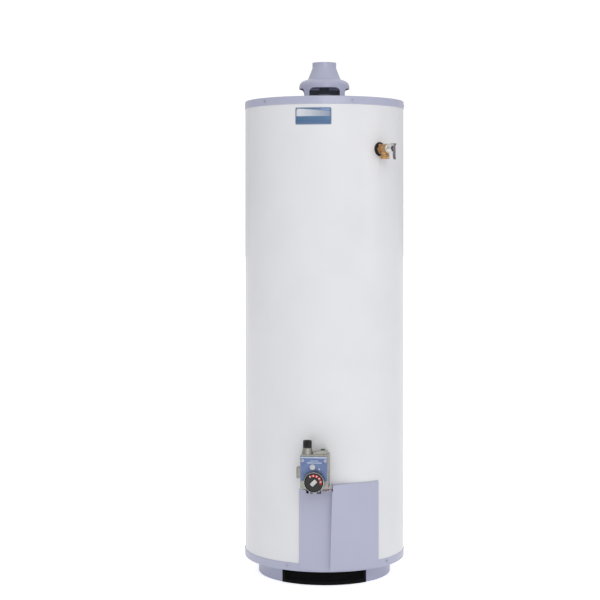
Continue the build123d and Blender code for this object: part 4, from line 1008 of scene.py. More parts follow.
def draw_valve_body(shape):
    """Die-cast body: ribbed sides, cone under the cock, sloping shoulder, inlet boss."""
    place = valve_place()
    low_z, high_z = VALVE_LOW, BODY_TOP
    mid = (low_z + high_z) / 2
    height = high_z - low_z
    stack(shape, [(258, rounded(82, height - 2, 6, (0, mid))), (259.5, rounded(84, height, 6, (0, mid))),
                  (322.6, rounded(84, height, 5, (0, mid))),
                  (BODY_FRONT, rounded(80, height - 4, 4, (0, mid)))], place)
    for z in (318, 398):
        stack(shape, [(262, rounded(84.6, 5, 2, (0, z))), (316, rounded(84.6, 5, 2, (0, z)))], place)
    cone = valve_up(-23, 0, 297)
    lathe(shape, [(0, 410), (17.5, 410), (17.5, 418.5), (16.9, 420.5), (15.2, 428), (14.2, 433.8),
                  (13.6, 436.2), (5.3, 436.2), (5.3, 425), (0, 425)], cone, 48)
    shoulder = [(-3, 414), (36.4, 414), (36.4, 427.6), *bow((33.6, 427.8), 2.8, 0, 82, 4),
                (30, 431.0), (18, 430.4), (8, 427.6), (1, 424.6), (-3, 423.4)]
    slab(shape, shoulder, BUTTON_REACH - 14.6, BUTTON_REACH + 14.6, place)
    ear = [(5, 414), (36, 414), (36, 424), (31, 427), (14, 425), (5, 420)]
    slab(shape, ear, 268, BUTTON_REACH - 10, place)
    inlet = place @ Matrix.Translation((-41, 361, 295)) @ Matrix.Rotation(-pi / 2, 4, "Y")
    lathe(shape, [(0, -1), (18.3, -1), (18.3, 1.5), (17.4, 2.4), (17.4, 10.4), (18.3, 11.4),
                  (18.3, 13.6), (17.6, 14.5), (11.6, 14.5), (10.6, 13.4), (10.6, -5), (0, -5)],
          inlet, 48)
    lathe(shape, [(5.3, 322), (27, 322), (27, 330.5), (26, 331.7), (5.3, 331.7)],
          place @ Matrix.Translation((DIAL_X, DIAL_Z, 0)), 56)
    # outlet wall on the right and a domed regulator cap on it
    lathe(shape, [(0, -1), (15, -1), (15, 2.2), (12.6, 2.6), (11.6, 1.6), (0, 1.6)],
          place @ Matrix.Translation((41, 352, 292)) @ Matrix.Rotation(pi / 2, 4, "Y"), 40)


def draw_valve_sockets(shape):
    """Blind holes in the control for the button."""
    lathe(shape, [(0, 413), (7.3, 413), (7.3, 440), (0, 440)], valve_up(BUTTON_X, 0, BUTTON_REACH), 32)


def draw_cover(shape):
    """Cover plate with softened edges, notched round the dial."""
    place = valve_place()
    notch = 31.6
    low_z, high_z = 341.0, 414.0
    half = degrees(asin((DIAL_Z - low_z) / notch))
    outline = [(40.5, low_z + 2.5), *bow((37.5, high_z - 3), 3, 0, 90, 5),
               *bow((-37.5, high_z - 3), 3, 90, 180, 5), (-40.5, low_z + 2.5), (-38.5, low_z),
               *[(DIAL_X - notch * cos(radians(t)), DIAL_Z + notch * sin(radians(t)))
                 for t in [(-half) + (180 + 2 * half) * i / 36 for i in range(37)]],
               (38.5, low_z)]
    slab(shape, outline, BODY_FRONT + 0.15, COVER_FRONT, place)


def draw_cover_print(shape):
    """Pale printed lines on the cover: a bar under its top edge and two plain stripes."""
    place = valve_place()
    for x, z, width, height in ((0, 411.4, 79, 3.0), (1, 401.4, 24, 1.5), (1, 395.6, 44, 2.2)):
        slab(shape, rounded(width, height, 0.6, (x, z)), COVER_FRONT - 0.1, COVER_FRONT + 0.25, place)


def draw_cap(shape):
    """Slotted adjuster cap with a small pointer dot beside it."""
    place = valve_place()
    big = place @ Matrix.Translation((-4, 383, 0))
    lathe(shape, [(0, 329.15), (8.5, 329.15), (8.5, 331.2), (7.9, 332.0), (6.6, 332.0),
                  (6.2, 331.5), (0, 331.5)], big, 40)
    slab(shape, rounded(10.6, 1.6, 0.5), 331.3, 331.9, big @ Matrix.Rotation(0.6, 4, "Z"))
    lathe(shape, [(0, 329.15), (3, 329.15), (2.7, 330.5), (0, 330.8)],
          place @ Matrix.Translation((16, 377, 0)), 24)


def dial_place():
    return valve_place(0, 0) @ Matrix.Translation((DIAL_X, DIAL_Z, 0))


def draw_dial(shape):
    """Moulded dial: bevelled rim, sunk face, raised hub."""
    lathe(shape, [(0, 332), (29.4, 332), (30.2, 333.0), (30.4, 335), (30.4, 339.5), (29.9, 342.8),
                  (28.6, 344.0), (27.4, 344.0), (26.6, 343.2), (25.4, 343.4), (25.2, 345.4),
                  (24.6, 346.0), (0, 346.0)], dial_place(), 96)
    lathe(shape, [(0, 313), (5, 313), (5, 333), (0, 333)], dial_place(), 24)


def draw_dial_rim(shape):
    """Bright turned ring let into the dial's edge."""
    lathe(shape, [(29.0, 343.5), (29.5, 343.0), (29.9, 341.5), (29.9, 339.5), (30.4, 339.5),
                  (30.4, 341.5), (30.2, 343.2), (29.7, 344.1), (29.0, 344.3)], dial_place(), 96)


def draw_dial_grip(shape):
    """Grip bar across the dial, narrowing towards its top."""
    place = dial_place() @ Matrix.Rotation(radians(45), 4, "Z")
    stack(shape, [(345.5, rounded(27, 14.4, 3.4)), (348.6, rounded(26.4, 13.8, 3.2)),
                  (349.6, rounded(25.4, 12.8, 2.8))], place)


def draw_grip_marks(shape):
    """Pale paint in four stripes across the grip's top."""
    place = dial_place() @ Matrix.Rotation(radians(45), 4, "Z")
    for y in (-4.6, -1.55, 1.5, 4.55):
        slab(shape, rounded(22 - 0.5 * abs(y), 2.1, 0.7, (0, y)), 349.3, 350.0, place)


def draw_dial_band(shape):
    """Red scale band that covers the hotter part of the dial."""
    inner, outer = 17.6, 24.4
    points = [(outer * cos(radians(a)), outer * sin(radians(a))) for a in range(-14, 128, 4)]
    points += [(inner * cos(radians(a)), inner * sin(radians(a))) for a in range(126, -16, -4)]
    slab(shape, points, 345.9, 346.15, dial_place())


def draw_knob(shape):
    """Castellated cock knob with finger flutes and an index rib."""
    place = Matrix.Translation((COCK.x, COCK.y, 0)) @ Matrix.Rotation(radians(VALVE_ANGLE), 4, "Z")
    flutes = ((436.5, 12.9, 0), (437.1, 13.5, 0), (441.6, 13.5, 0), (442.4, 13.4, 1.5),
              (456.6, 13.1, 1.6), (458.0, 12.6, 1.4), (458.4, 11.2, 0.8), (457.2, 9.6, 0),
              (457.0, 3.0, 0))
    stack(shape, [(z, scalloped(r, depth, 96, 12, 0.7)) for z, r, depth in flutes], place)
    slab(shape, rounded(21, 4.2, 1.5), 456.8, 459.0, place)
    lathe(shape, [(0, 409), (5, 409), (5, 437.5), (0, 437.5)], place, 24)


def draw_button(shape):
    place = valve_up(BUTTON_X, 0, BUTTON_REACH)
    lathe(shape, [(0, 418), (7, 418), (7, 431.2), (6.7, 432.8), (5.8, 433.8), (4.4, 434.0),
                  (2.2, 433.6), (0, 433.5)], place, 40)


# ------------------------------------------------------------------
# Tubes and the switch lead
# ------------------------------------------------------------------

def at_valve(x, height, reach):
    return valve_place() @ Vector((x, height, reach))


def draw_supply(x, bend_z, turn_z, low_z, end, radius):
    """Tube from the control, in behind the door, down and in to the burner."""
    points = [at_valve(x, VALVE_LOW - 0.15, NUT_REACH), at_valve(x, bend_z, NUT_REACH),
              at_valve(x, turn_z, TUBE_REACH), at_valve(x, low_z, TUBE_REACH), at_valve(*end)]
    return lambda shape: bent_tube(shape, points, radius, 14, 20)


def draw_lead(strand):
    """One strand of the twisted pair that leads to the thermal switch."""
    corners = [at_valve(24, VALVE_LOW - 0.15, 303), at_valve(24, 307.6, 303),
               at_valve(43.5, 306.5, 286), at_valve(56, 314.4, 266), at_valve(60, 296, 252),
               at_valve(58, 258, 241),
               at_valve(48, 216, 235)]

    def build(shape):
        fine = []
        for i in range(len(corners) - 1):
            before = corners[max(i - 1, 0)]
            after = corners[min(i + 2, len(corners) - 1)]
            for k in range(14):
                t = k / 14
                fine.append(0.5 * ((2 * corners[i]) + (corners[i + 1] - before) * t
                                   + (2 * before - 5 * corners[i] + 4 * corners[i + 1] - after)
                                   * t ** 2
                                   + (3 * corners[i] - before - 3 * corners[i + 1] + after)
                                   * t ** 3))
        fine.append(corners[-1])
        path, run = [], 0.0
        side = Vector((0, 0, 1))
        for i, point in enumerate(fine):
            ahead = (fine[min(i + 1, len(fine) - 1)] - fine[max(i - 1, 0)]).normalized()
            side = (side - ahead * side.dot(ahead)).normalized()
            up = ahead.cross(side)
            run += (point - fine[i - 1]).length if i else 0.0
            a = run / 11 * 2 * pi + strand * pi
            path.append(point + 1.15 * (cos(a) * side + sin(a) * up))
        tube_along(shape, path, 1.05, 10)
    return build


# ------------------------------------------------------------------
# Outer door
# ------------------------------------------------------------------

DOOR_LOW, DOOR_SHOULDER, DOOR_HIGH = 56.0, 304.0, 320.0
DOOR_LEFT, DOOR_RIGHT, SCOOP_Z = -18.3, 39.6, 301.0


def door_level(share, inset):
    """Section points of the door at a share of its height, from its left edge to its right."""
    radius = DOOR_R - inset
    crease_x = 12.5 + 7.0 * share + inset
    crease_y = 270.0 + 16.5 * share - 1.15 * inset
    points = [(radius * sin(radians(a)), -radius * cos(radians(a)))
              for a in [DOOR_LEFT + (24.0 * i / 20) for i in range(21)]]
    foot = (crease_x, -sqrt(radius ** 2 - crease_x ** 2))
    points = [p for p in points if p[0] < crease_x - 3.0]
    corner = (crease_x, -crease_y)
    reach = hypot(*corner)
    touch = degrees(asin(crease_x / reach)) + degrees(acos(min(1.0, radius / reach)))
    left = [(foot[0] - 2.4, -sqrt(radius ** 2 - (foot[0] - 2.4) ** 2)), (foot[0] - 0.5, foot[1] - 0.5),
            (foot[0], foot[1] - 2.4)]
    depth = -foot[1] + 2.4
    rise = [(corner[0], -depth - (crease_y - depth - 1.8) * t) for t in (0.33, 0.66, 1.0)]
    contact = (radius * sin(radians(touch)), -radius * cos(radians(touch)))
    along = Vector(contact) - Vector(corner)
    step = along.normalized()
    turn = [(corner[0] + 0.35, -crease_y + 0.35), tuple(Vector(corner) + step * 1.8)]
    flat = [tuple(Vector(corner) + along * t) for t in (0.1, 0.25, 0.45, 0.7, 0.9)]
    rest = [(radius * sin(radians(touch + (DOOR_RIGHT - touch) * t)),
             -radius * cos(radians(touch + (DOOR_RIGHT - touch) * t)))
            for t in (0.0, 0.15, 0.35, 0.55, 0.75, 0.9, 1.0)]
    while len(points) < 22:
        points.append(tuple(Vector(points[-1]) * 0.5 + Vector(left[0]) * 0.5))
    return points[:22] + left + rise + turn + flat + rest


def draw_door(shape):
    """Pressed sheet door: a shell of constant wall, drawn level by level."""
    shoulder = (DOOR_SHOULDER - DOOR_LOW) / (DOOR_HIGH - DOOR_LOW)
    levels = [0.0, 0.02, 0.25, 0.5, 0.75, shoulder, 0.96, 0.985, 1.0]
    fronts, backs = [], []
    for share in levels:
        z = DOOR_LOW + share * (DOOR_HIGH - DOOR_LOW)
        ease = 0.6 if share in (0.0, 1.0) else 0.0
        for inset, store in ((ease, fronts), (DOOR_WALL, backs)):
            store.append([shape.verts.new((x, y, z)) for x, y in door_level(share, inset)])
    count = len(fronts[0])
    for grid, flip in ((fronts, False), (backs, True)):
        for here, there in zip(grid, grid[1:]):
            for i in range(count - 1):
                quad = (here[i], here[i + 1], there[i + 1], there[i])
                shape.faces.new(quad[::-1] if flip else quad)
    for i in range(count - 1):
        shape.faces.new((backs[0][i], backs[0][i + 1], fronts[0][i + 1], fronts[0][i]))
        shape.faces.new((fronts[-1][i], fronts[-1][i + 1], backs[-1][i + 1], backs[-1][i]))
    for side in (0, count - 1):
        for k in range(len(levels) - 1):
            quad = (fronts[k][side], backs[k][side], backs[k + 1][side], fronts[k + 1][side])
            shape.faces.new(quad if side else quad[::-1])


def draw_door_top(shape):
    """Level flange that closes the raised part against the jacket."""
    outer = [p for p in door_level(1.0, 0.9) if p[0] > 18.0]
    outer = [p for p in outer if hypot(*p) > JACKET_R + 1.0]
    back = []
    for x, y in outer[::-1]:
        a = asin(x / hypot(x, y))
        back.append(((JACKET_R + 0.9) * sin(a), -(JACKET_R + 0.9) * cos(a)))
    slab(shape, outer + back, DOOR_HIGH - DOOR_WALL, DOOR_HIGH)


def draw_door_cuts(shape):
    """Shoulder step, scoop under the control, tube notches and the lead's way in."""
    slab(shape, strip(-24, 3.7, DOOR_R - 8, DOOR_R + 3.5, 20), DOOR_SHOULDER, DOOR_HIGH + 5)
    slab(shape, strip(-15.9, 3.7, DOOR_R - 8, DOOR_R + 4, 20), SCOOP_Z, DOOR_HIGH + 4)
    for x, width in ((MAIN_X, 13), (PILOT_X, 8), (THERMO_X, 8)):
        slab(shape, rounded(width, 60, 2, (x, 320)), 240, 275, valve_place())
    slab(shape, [(13.5, -285.5), (21.5, -285.5), (21.5, -254), (13.5, -254)], SCOOP_Z,
         DOOR_HIGH - DOOR_WALL)


# ------------------------------------------------------------------
# Badge
# ------------------------------------------------------------------

def badge_span():
    """Badge's left and right ends along the jacket, its foot and its top."""
    start, end = radians(-21.2) * JACKET_R, radians(3.9) * JACKET_R
    return start, end, low("badge").z, high("badge").z


def edge_of(left, right, bottom, top, radius):
    """Bottom and top edge functions of a plate with rounded corners."""
    def dip(s):
        d = min(s - left, right - s)
        return 0.0 if d >= radius else radius - sqrt(max(0.0, radius ** 2 - (radius - d) ** 2))
    return (lambda s: bottom + dip(s)), (lambda s: top - dip(s))


def draw_badge_frame(shape):
    left, right, bottom, top = badge_span()
    wrapped(shape, left, right, *edge_of(left, right, bottom, top, 3.0), JACKET_R + 0.15,
            JACKET_R + 1.1, 64)


def draw_badge_face(shape):
    """Domed face inside the frame, higher in its middle; its UVs run 0 to 1 over it."""
    left, right, bottom, top = badge_span()
    left, right, bottom, top = left + 3.2, right - 3.2, bottom + 3.2, top - 3.2
    low_edge, high_edge = edge_of(left, right, bottom, top, 2.2)
    layer = shape.loops.layers.uv.new("face")
    rows, columns = 14, 48
    grid = []
    for i in range(columns + 1):
        s = left + (right - left) * i / columns
        out = Vector((sin(s / JACKET_R), -cos(s / JACKET_R), 0))
        line = []
        for k in range(rows + 1):
            z = low_edge(s) + (high_edge(s) - low_edge(s)) * k / rows
            near = min(min(i, columns - i) / columns * (right - left),
                       min(k, rows - k) / rows * (top - bottom))
            dome = min(1.0, near / 2.6)
            line.append(shape.verts.new(out * (JACKET_R + 1.08 + 0.72 * sin(dome * pi / 2))
                                        + Vector((0, 0, z))))
        grid.append(line)
    for i in range(columns):
        for k in range(rows):
            face = shape.faces.new((grid[i][k], grid[i + 1][k], grid[i + 1][k + 1], grid[i][k + 1]))
            for loop, (u, v) in zip(face.loops, ((i, k), (i + 1, k), (i + 1, k + 1), (i, k + 1))):
                loop[layer].uv = (u / columns, v / rows)
    border = ([grid[i][0] for i in range(columns + 1)] + grid[columns][1:]
              + [grid[i][rows] for i in range(columns - 1, -1, -1)] + grid[0][rows - 1:0:-1])
    base = []
    for vert in border:
        flat = Vector((vert.co.x, vert.co.y, 0)).normalized() * (JACKET_R + 0.6)
        base.append(shape.verts.new(flat + Vector((0, 0, vert.co.z))))
    for i in range(len(border)):
        k = (i + 1) % len(border)
        shape.faces.new((border[k], border[i], base[i], base[k]))
    shape.faces.new(base)


# ------------------------------------------------------------------
# Water connections, drain valve
# ------------------------------------------------------------------

def draw_nipple(x):
    def build(shape):
        place = standing(x)
        lathe(shape, [(9.5, 1424), (13.15, 1424), (13.15, 1506.5), (9.5, 1506.5)], place, 40)
        threads(shape, 13.35, 1506.5, 1520.2, 1.81, place, 0.65, 40)
        lathe(shape, [(9.5, 1506.4), (12.6, 1506.4), (12.6, 1520.2), (11.8, 1521), (9.5, 1521)],
              place, 40)
    return build


def draw_mark_ring(x):
    def build(shape):
        lathe(shape, [(13.65, 1503.65), (21, 1503.65), (21, 1504.6), (20.2, 1505.6), (18.8, 1505.9),
                      (14.6, 1505.9), (13.65, 1505.4)], standing(x), 56)
    return build


def draw_anode_plug(shape):
    lathe(shape, [(0, 1496.5), (21.7, 1496.5), (21.7, 1503.65), (24, 1503.65), (24, 1504.6),
                  (23.0, 1505.7), (21.4, 1506.0), (16, 1506.0), (15.4, 1505.5), (0, 1505.5)],
          standing(0, ANODE_Y), 56)


def drain_place(height=0.0, reach=0.0):
    return facing(DRAIN_ANGLE, DRAIN_Z + height, reach)


def draw_drain_body(shape):
    place = drain_place()
    lathe(shape, [(0, 216.5), (13.35, 216.5), (13.35, 262), (0, 262)], place, 40)
    nut(shape, 30, 261, 270, place, edge=1.2)
    lathe(shape, [(0, 269), (14.0, 269), (14.5, 271), (14.5, 301), (13.8, 302), (10.95, 302),
                  (10.95, 280), (0, 280)], place, 48)
    spout = drain_place(0, 286) @ Matrix.Rotation(pi / 2, 4, "X")
    lathe(shape, [(0, 2), (14.45, 2), (14.45, 17.2), (13.8, 18), (9, 18), (0, 12)], spout, 48)
    threads(shape, 13.35, 18, 39.2, 2.2, spout, 0.75, 40)
    lathe(shape, [(8.5, 17.8), (12.6, 17.8), (12.6, 39.2), (11.8, 40), (8.5, 40)], spout, 40)


def draw_drain_bonnet(shape):
    place = drain_place()
    nut(shape, 26, 302.15, 309, place, edge=1.0)
    lathe(shape, [(3.3, 296), (10.9, 296), (10.9, 303), (3.3, 303)], place, 32)


def draw_handwheel(shape):
    """Round handwheel: scalloped rim, thin web and a hub."""
    rings = ((314, 20.8, 2.0), (314.8, 21.8, 2.3), (320.2, 21.8, 2.3), (321, 20.8, 2.0),
             (321, 16.5, 0.6), (319.2, 15.5, 0.2), (319.2, 8.6, 0), (322, 7.5, 0), (323.4, 7.2, 0),
             (324, 6.4, 0), (324, 3.22, 0), (311, 3.22, 0), (311, 7.0, 0), (312, 7.5, 0),
             (315.8, 8.2, 0), (315.8, 15.5, 0.2), (314, 16.5, 0.6))
    stack(shape, [(z, scalloped(r, depth, 160, 8, 2)) for z, r, depth in rings], drain_place(), True)


# ------------------------------------------------------------------
# Sizes and colours a user may change
# ------------------------------------------------------------------

class HeaterFinish(bpy.types.PropertyGroup):
    jacket_colour: bpy.props.FloatVectorProperty(
        name="Jacket colour", description="Enamel of the tall jacket", subtype="COLOR_GAMMA",
        size=3, min=0.0, max=1.0, default=(0.902, 0.902, 0.914))
    trim_colour: bpy.props.FloatVectorProperty(
        name="Trim colour", description="Enamel of the pans, the door and the draft hood",
        subtype="COLOR_GAMMA", size=3, min=0.0, max=1.0, default=(0.708, 0.716, 0.805))


class ScreenSizes(bpy.types.PropertyGroup):
    columns: bpy.props.IntProperty(
        name="Columns", description="Upright bars of the air intake screen", default=56, min=8)
    rows: bpy.props.IntProperty(
        name="Rows", description="Level bars of the air intake screen", default=9, min=3)
    bar: bpy.props.FloatProperty(
        name="Bar", description="Thickness of one bar", default=0.0011, min=0.0004,
        subtype="DISTANCE", unit="LENGTH")


class ScrewSizes(bpy.types.PropertyGroup):
    head_radius: bpy.props.FloatProperty(
        name="Head radius", description="Radius of a sheet metal screw's head", default=0.0042,
        min=0.002, subtype="DISTANCE", unit="LENGTH")
    head_height: bpy.props.FloatProperty(
        name="Head height", description="Height of a sheet metal screw's head", default=0.0018,
        min=0.0005, subtype="DISTANCE", unit="LENGTH")


class DialMarks(bpy.types.PropertyGroup):
    count: bpy.props.IntProperty(
        name="Marks", description="White marks on the temperature dial", default=5, min=2)
    radius: bpy.props.FloatProperty(
        name="Radius", description="How far the marks stand from the dial's centre",
        default=0.0210, min=0.005, subtype="DISTANCE", unit="LENGTH")
    length: bpy.props.FloatProperty(
        name="Length", description="Length of one mark", default=0.0058, min=0.001,
        subtype="DISTANCE", unit="LENGTH")


class StudioLight(bpy.types.PropertyGroup):
    sky: bpy.props.FloatProperty(
        name="Sky", description="Strength of the even light from all sides", default=0.79, min=0.0)
    key: bpy.props.FloatProperty(
        name="Key", description="Power of the large soft light in front", default=40.0, min=0.0,
        unit="POWER")
    side: bpy.props.FloatProperty(
        name="Side", description="Power of the weaker light at the right", default=6.0, min=0.0,
        unit="POWER")


# ------------------------------------------------------------------
# Operators
# ------------------------------------------------------------------

class HEATER_OT_finishes(bpy.types.Operator):
    """Make every finish and give it to the CAD nodes of its slot"""
    bl_idname = "heater.finishes"
    bl_label = "Finishes"

    def execute(self, context):
        mix_finishes()
        for entry in frame["record"]["subparts"]:
            mesh = frame["nodes"][entry["node"]].data
            if not mesh.materials:
                mesh.materials.append(None)
            for i in range(len(mesh.materials)):
                mesh.materials[i] = finish(entry["material_slot"])
        return {"FINISHED"}


class HEATER_OT_jacket(bpy.types.Operator):
    """Rolled steel jacket with its lock seam and openings"""
    bl_idname = "heater.jacket"
    bl_label = "Jacket"

    def execute(self, context):
        jacket = finished("jacket_shell", draw_jacket, "heater", "white_enamel")
        cut(jacket, draw_jacket_holes)
        settle(jacket, "heater", "white_enamel", ["jacket"])
        return {"FINISHED"}


class HEATER_OT_pans(bpy.types.Operator):
    """Top pan, bottom pan and stand"""
    bl_idname = "heater.pans"
    bl_label = "Pans and stand"

    def execute(self, context):
        top = finished("top_pan_shell", draw_top_pan, "heater", "grey_enamel")

        def top_holes(shape):
            for x, y, radius in ((-NIPPLE_X, 0, 14.85), (NIPPLE_X, 0, 14.85), (0, ANODE_Y, 22)):
                slab(shape, circle(radius, 40), 1490, 1515, standing(x, y))
        cut(top, top_holes)
        settle(top, "heater", "grey_enamel", ["top_pan"])
        finished("bottom_pan_shell", draw_bottom_pan, "heater", "grey_enamel", ["bottom_pan"])
        stand = finished("stand_ring", draw_base_ring, "heater", "grey_enamel")
        cut(stand, draw_base_window)
        settle(stand, "heater", "grey_enamel", ["base_ring"])
        return {"FINISHED"}


class HEATER_OT_screen(bpy.types.Operator):
    """Air intake screen: a mesh of bars in a flat rim"""
    bl_idname = "heater.screen"
    bl_label = "Air intake screen"

    def execute(self, context):
        sizes = context.scene.heater_screen
        tree = perforation_tree("screen_bars", finish("black_screen"))
        start, end = radians(-37.5), radians(35.4)
        bars = grown("intake_screen_bars", tree, {
            "Radius": (FOOT_R + 0.9) * MM, "Low": 0.0105, "Height": 0.029, "Start": start,
            "Sweep": end - start, "Columns": sizes.columns, "Rows": sizes.rows, "Bar": sizes.bar})
        settle(bars, "heater", "black_screen", ["air_intake_screen"])
        finished("intake_screen_rim", draw_screen_frame, "heater", "black_screen")

        # Painted shade: a black sheet behind the bars that stands in for the dark inside of the stand seen through
        # the screen.
        def shade_sheet(shape):
            profile = [(FOOT_R - 14.0, 2.0), (FOOT_R - 13.4, 2.0), (FOOT_R - 13.4, 48.0),
                       (FOOT_R - 14.0, 48.0)]
            lathe(shape, profile, segments=48, start=-132.0, end=-50.0)
        finished("intake_screen_baffle", shade_sheet, "heater", "black_screen")
        return {"FINISHED"}


class HEATER_OT_screws(bpy.types.Operator):
    """Sheet metal screws of the pans and the hood, and the cover's screws"""
    bl_idname = "heater.screws"
    bl_label = "Screws"

    def execute(self, context):
        sizes = context.scene.heater_screws
        radius, height = sizes.head_radius / MM, sizes.head_height / MM

        def pan_head(shape):
            lathe(shape, [(0, -7), (1.9, -7), (1.9, 0), (radius, 0), (radius, 0.4 * height),
                          (0.8 * radius, 0.85 * height), (0.45 * radius, height), (0, height)],
                  segments=20)
            for turn in (0, 90):
                slab(shape, rounded(4.2, 0.9, 0.3), height - 0.15, height + 0.04,
                     Matrix.Rotation(radians(turn), 4, "Z"))

        def hex_head(shape):
            nut(shape, 8, 0.6, 4.6)
            lathe(shape, [(0, -6), (2.4, -6), (2.4, 0), (5, 0), (5, 0.8), (0, 0.8)], segments=20)
        top, foot = TOP_Z - 12.5, FOOT_Z + 14
        places = [facing(a, top, PAN_R + 0.05) for a in TOP_SCREWS]
        places += [facing(a, foot, PAN_R + 0.05) for a in FOOT_SCREWS]
        for a in HOOD_FEET:
            places.append(standing(88 * sin(radians(a)), -88 * cos(radians(a)), TOP_Z + 1.5))
        set_screws("pan_screws", "heater", "zinc_steel", places, pan_head,
                   ["sheet_metal_screws"])
        inner = [facing(a, 158, 232.4 + 0.1) for a in (-17.6, 12.0)]
        set_screws("inner_door_screws", "heater", "zinc_steel", inner, hex_head)
        cover = [facing(VALVE_ANGLE, 402, COVER_FRONT + 0.1)
                 @ Matrix.Translation((x, 0, 0)) for x in (-34, 34)]
        radius = 5.2
        set_screws("cover_screws", "heater", "zinc_steel", cover, pan_head,
                   ["gas_valve_cover_screws"])
        return {"FINISHED"}


class HEATER_OT_hood(bpy.types.Operator):
    """Draft hood with its four openings and feet"""
    bl_idname = "heater.hood"
    bl_label = "Draft hood"

    def execute(self, context):
        hood = finished("hood_shell", draw_hood, "heater", "grey_enamel")
        cut(hood, draw_hood_windows)
        settle(hood, "heater", "grey_enamel", ["draft_hood"], crease=40)
        finished("hood_feet", draw_hood_feet, "heater", "grey_enamel")
        return {"FINISHED"}


class HEATER_OT_relief_valve(bpy.types.Operator):
    """Temperature and pressure relief valve with its lever"""
    bl_idname = "heater.relief_valve"
    bl_label = "Relief valve"

    def execute(self, context):
        finished("relief_body", draw_relief_body, "heater", "brass", ["relief_valve_body"])
        finished("relief_cap", draw_relief_bonnet, "heater", "nickel_plate", ["relief_bonnet"])
        coil = finished("relief_coil_spring", draw_relief_spring, "heater", "raw_steel",
                        ["relief_spring"])
        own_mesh(coil)
        finished("relief_thumb_lever", draw_relief_lever, "relief_lever", "nickel_plate",
                 ["relief_lever"], finish("lever_steel"))
        return {"FINISHED"}


class HEATER_OT_gas_control(bpy.types.Operator):
    """Gas control: cast body, printed cover, caps, cock knob and pilot button"""
    bl_idname = "heater.gas_control"
    bl_label = "Gas control"

    def execute(self, context):
        body = finished("control_body", draw_valve_body, "heater", "cast_aluminium")
        cut(body, draw_valve_sockets)
        settle(body, "heater", "cast_aluminium", ["gas_valve_body"])
        finished("control_cover", draw_cover, "heater", "valve_cover", ["gas_valve_cover"],
                 level=0.9)
        finished("control_cover_print", draw_cover_print, "heater", "valve_caps",
                 material=moulded("pale_screen_print", "#CFDAE9", 0.4, 0.8, 0.004))
        finished("adjuster_caps_turned", draw_cap, "heater", "valve_caps", ["adjuster_caps"])
        finished("cock_knob", draw_knob, "gas_cock", "black_plastic", ["gas_cock_knob"])
        finished("pilot_push_button", draw_button, "pilot_button", "green_plastic", ["pilot_button"])
        return {"FINISHED"}


class HEATER_OT_dial(bpy.types.Operator):
    """Temperature dial: rim, red band, white marks and ribbed grip"""
    bl_idname = "heater.dial"
    bl_label = "Temperature dial"

    def execute(self, context):
        marks = context.scene.heater_dial
        body = "temperature_dial"
        finished("dial_body", draw_dial, body, "black_plastic", ["temperature_dial"])
        finished("dial_rim", draw_dial_rim, body, "nickel_plate")
        finished("dial_grip", draw_dial_grip, body, "black_plastic")
        white = moulded("white_filling_paint", "#E9E7E4", 0.4, 0.8, 0.01)
        finished("dial_grip_marks", draw_grip_marks, body, "white_plastic", material=white)
        finished("dial_band", draw_dial_band, body, "red_plastic",
                 material=moulded("red_scale_paint", "#B8202B", 0.35, 0.8, 0.01))
        tree = dial_tick_tree("dial_marks", white)
        ticks = grown("dial_marks", tree, {
            "Count": marks.count, "Radius": marks.radius, "Start": radians(8),
            "Sweep": radians(114), "Length": marks.length, "Width": 0.0024})
        ticks.data.transform(Matrix.Scale(MM, 4) @ dial_place()
                             @ Matrix.Translation((0, 0, 346.0)) @ Matrix.Scale(1 / MM, 4))
        settle(ticks, body, "white_plastic", material=white)
        return {"FINISHED"}


class HEATER_OT_tubes(bpy.types.Operator):
    """Supply tubes, their nuts and the twisted lead of the thermal switch"""
    bl_idname = "heater.tubes"
    bl_label = "Tubes and lead"

    def execute(self, context):
        finished("main_supply_tube", draw_supply(MAIN_X, 304, 289, 112, (0.4, 112, 11.9), 4.75),
                 "heater", "drawn_aluminium", ["main_gas_tube"])
        finished("pilot_supply_tube", draw_supply(PILOT_X, 306, 294, 158, (-10, 158, 107.5), 2.0),
                 "heater", "drawn_aluminium", ["pilot_gas_tube"])
        finished("thermocouple_tube", draw_supply(THERMO_X, 306, 294, 166, (-18, 166, 107.5), 1.5),
                 "heater", "copper_lead", ["thermocouple_lead"])

        def fittings(shape):
            for x, across, reach in ((MAIN_X, 14, NUT_REACH), (PILOT_X, 9, NUT_REACH),
                                     (THERMO_X, 8, NUT_REACH), (-20.5, 11, PLUG_REACH),
                                     (12.5, 11, PLUG_REACH)):
                nut(shape, across, VALVE_LOW - 6, VALVE_LOW - 0.15, valve_up(x, 0, reach), edge=0.7)
        finished("control_nuts", fittings, "heater", "dark_fittings", ["valve_fittings"])
        finished("switch_lead_dark", draw_lead(0), "heater", "lead_insulation",
                 ["thermal_switch_lead"],
                 moulded("plum_wire_insulation", "#7E4452", 0.42, 0.8, 0.01))
        finished("switch_lead_pale", draw_lead(1), "heater", "lead_insulation",
                 material=moulded("white_wire_insulation", "#D8CFD2", 0.42, 0.8, 0.01))
        return {"FINISHED"}


class HEATER_OT_door(bpy.types.Operator):
    """Outer door pressed from sheet, with its raised part over the burner"""
    bl_idname = "heater.door"
    bl_label = "Outer door"

    def execute(self, context):
        door = finished("door_shell", draw_door, "outer_door", "grey_enamel")
        cut(door, draw_door_cuts)
        settle(door, "outer_door", "grey_enamel", ["outer_door"], crease=30)
        finished("door_top_flange", draw_door_top, "outer_door", "grey_enamel")
        return {"FINISHED"}


class HEATER_OT_badge(bpy.types.Operator):
    """Plain badge plate with a domed face"""
    bl_idname = "heater.badge"
    bl_label = "Badge"

    def execute(self, context):
        finished("badge_frame", draw_badge_frame, "heater", "badge", ["badge"])
        finished("badge_face", draw_badge_face, "heater", "badge",
                 material=badge_face("domed_foil_badge"))
        return {"FINISHED"}


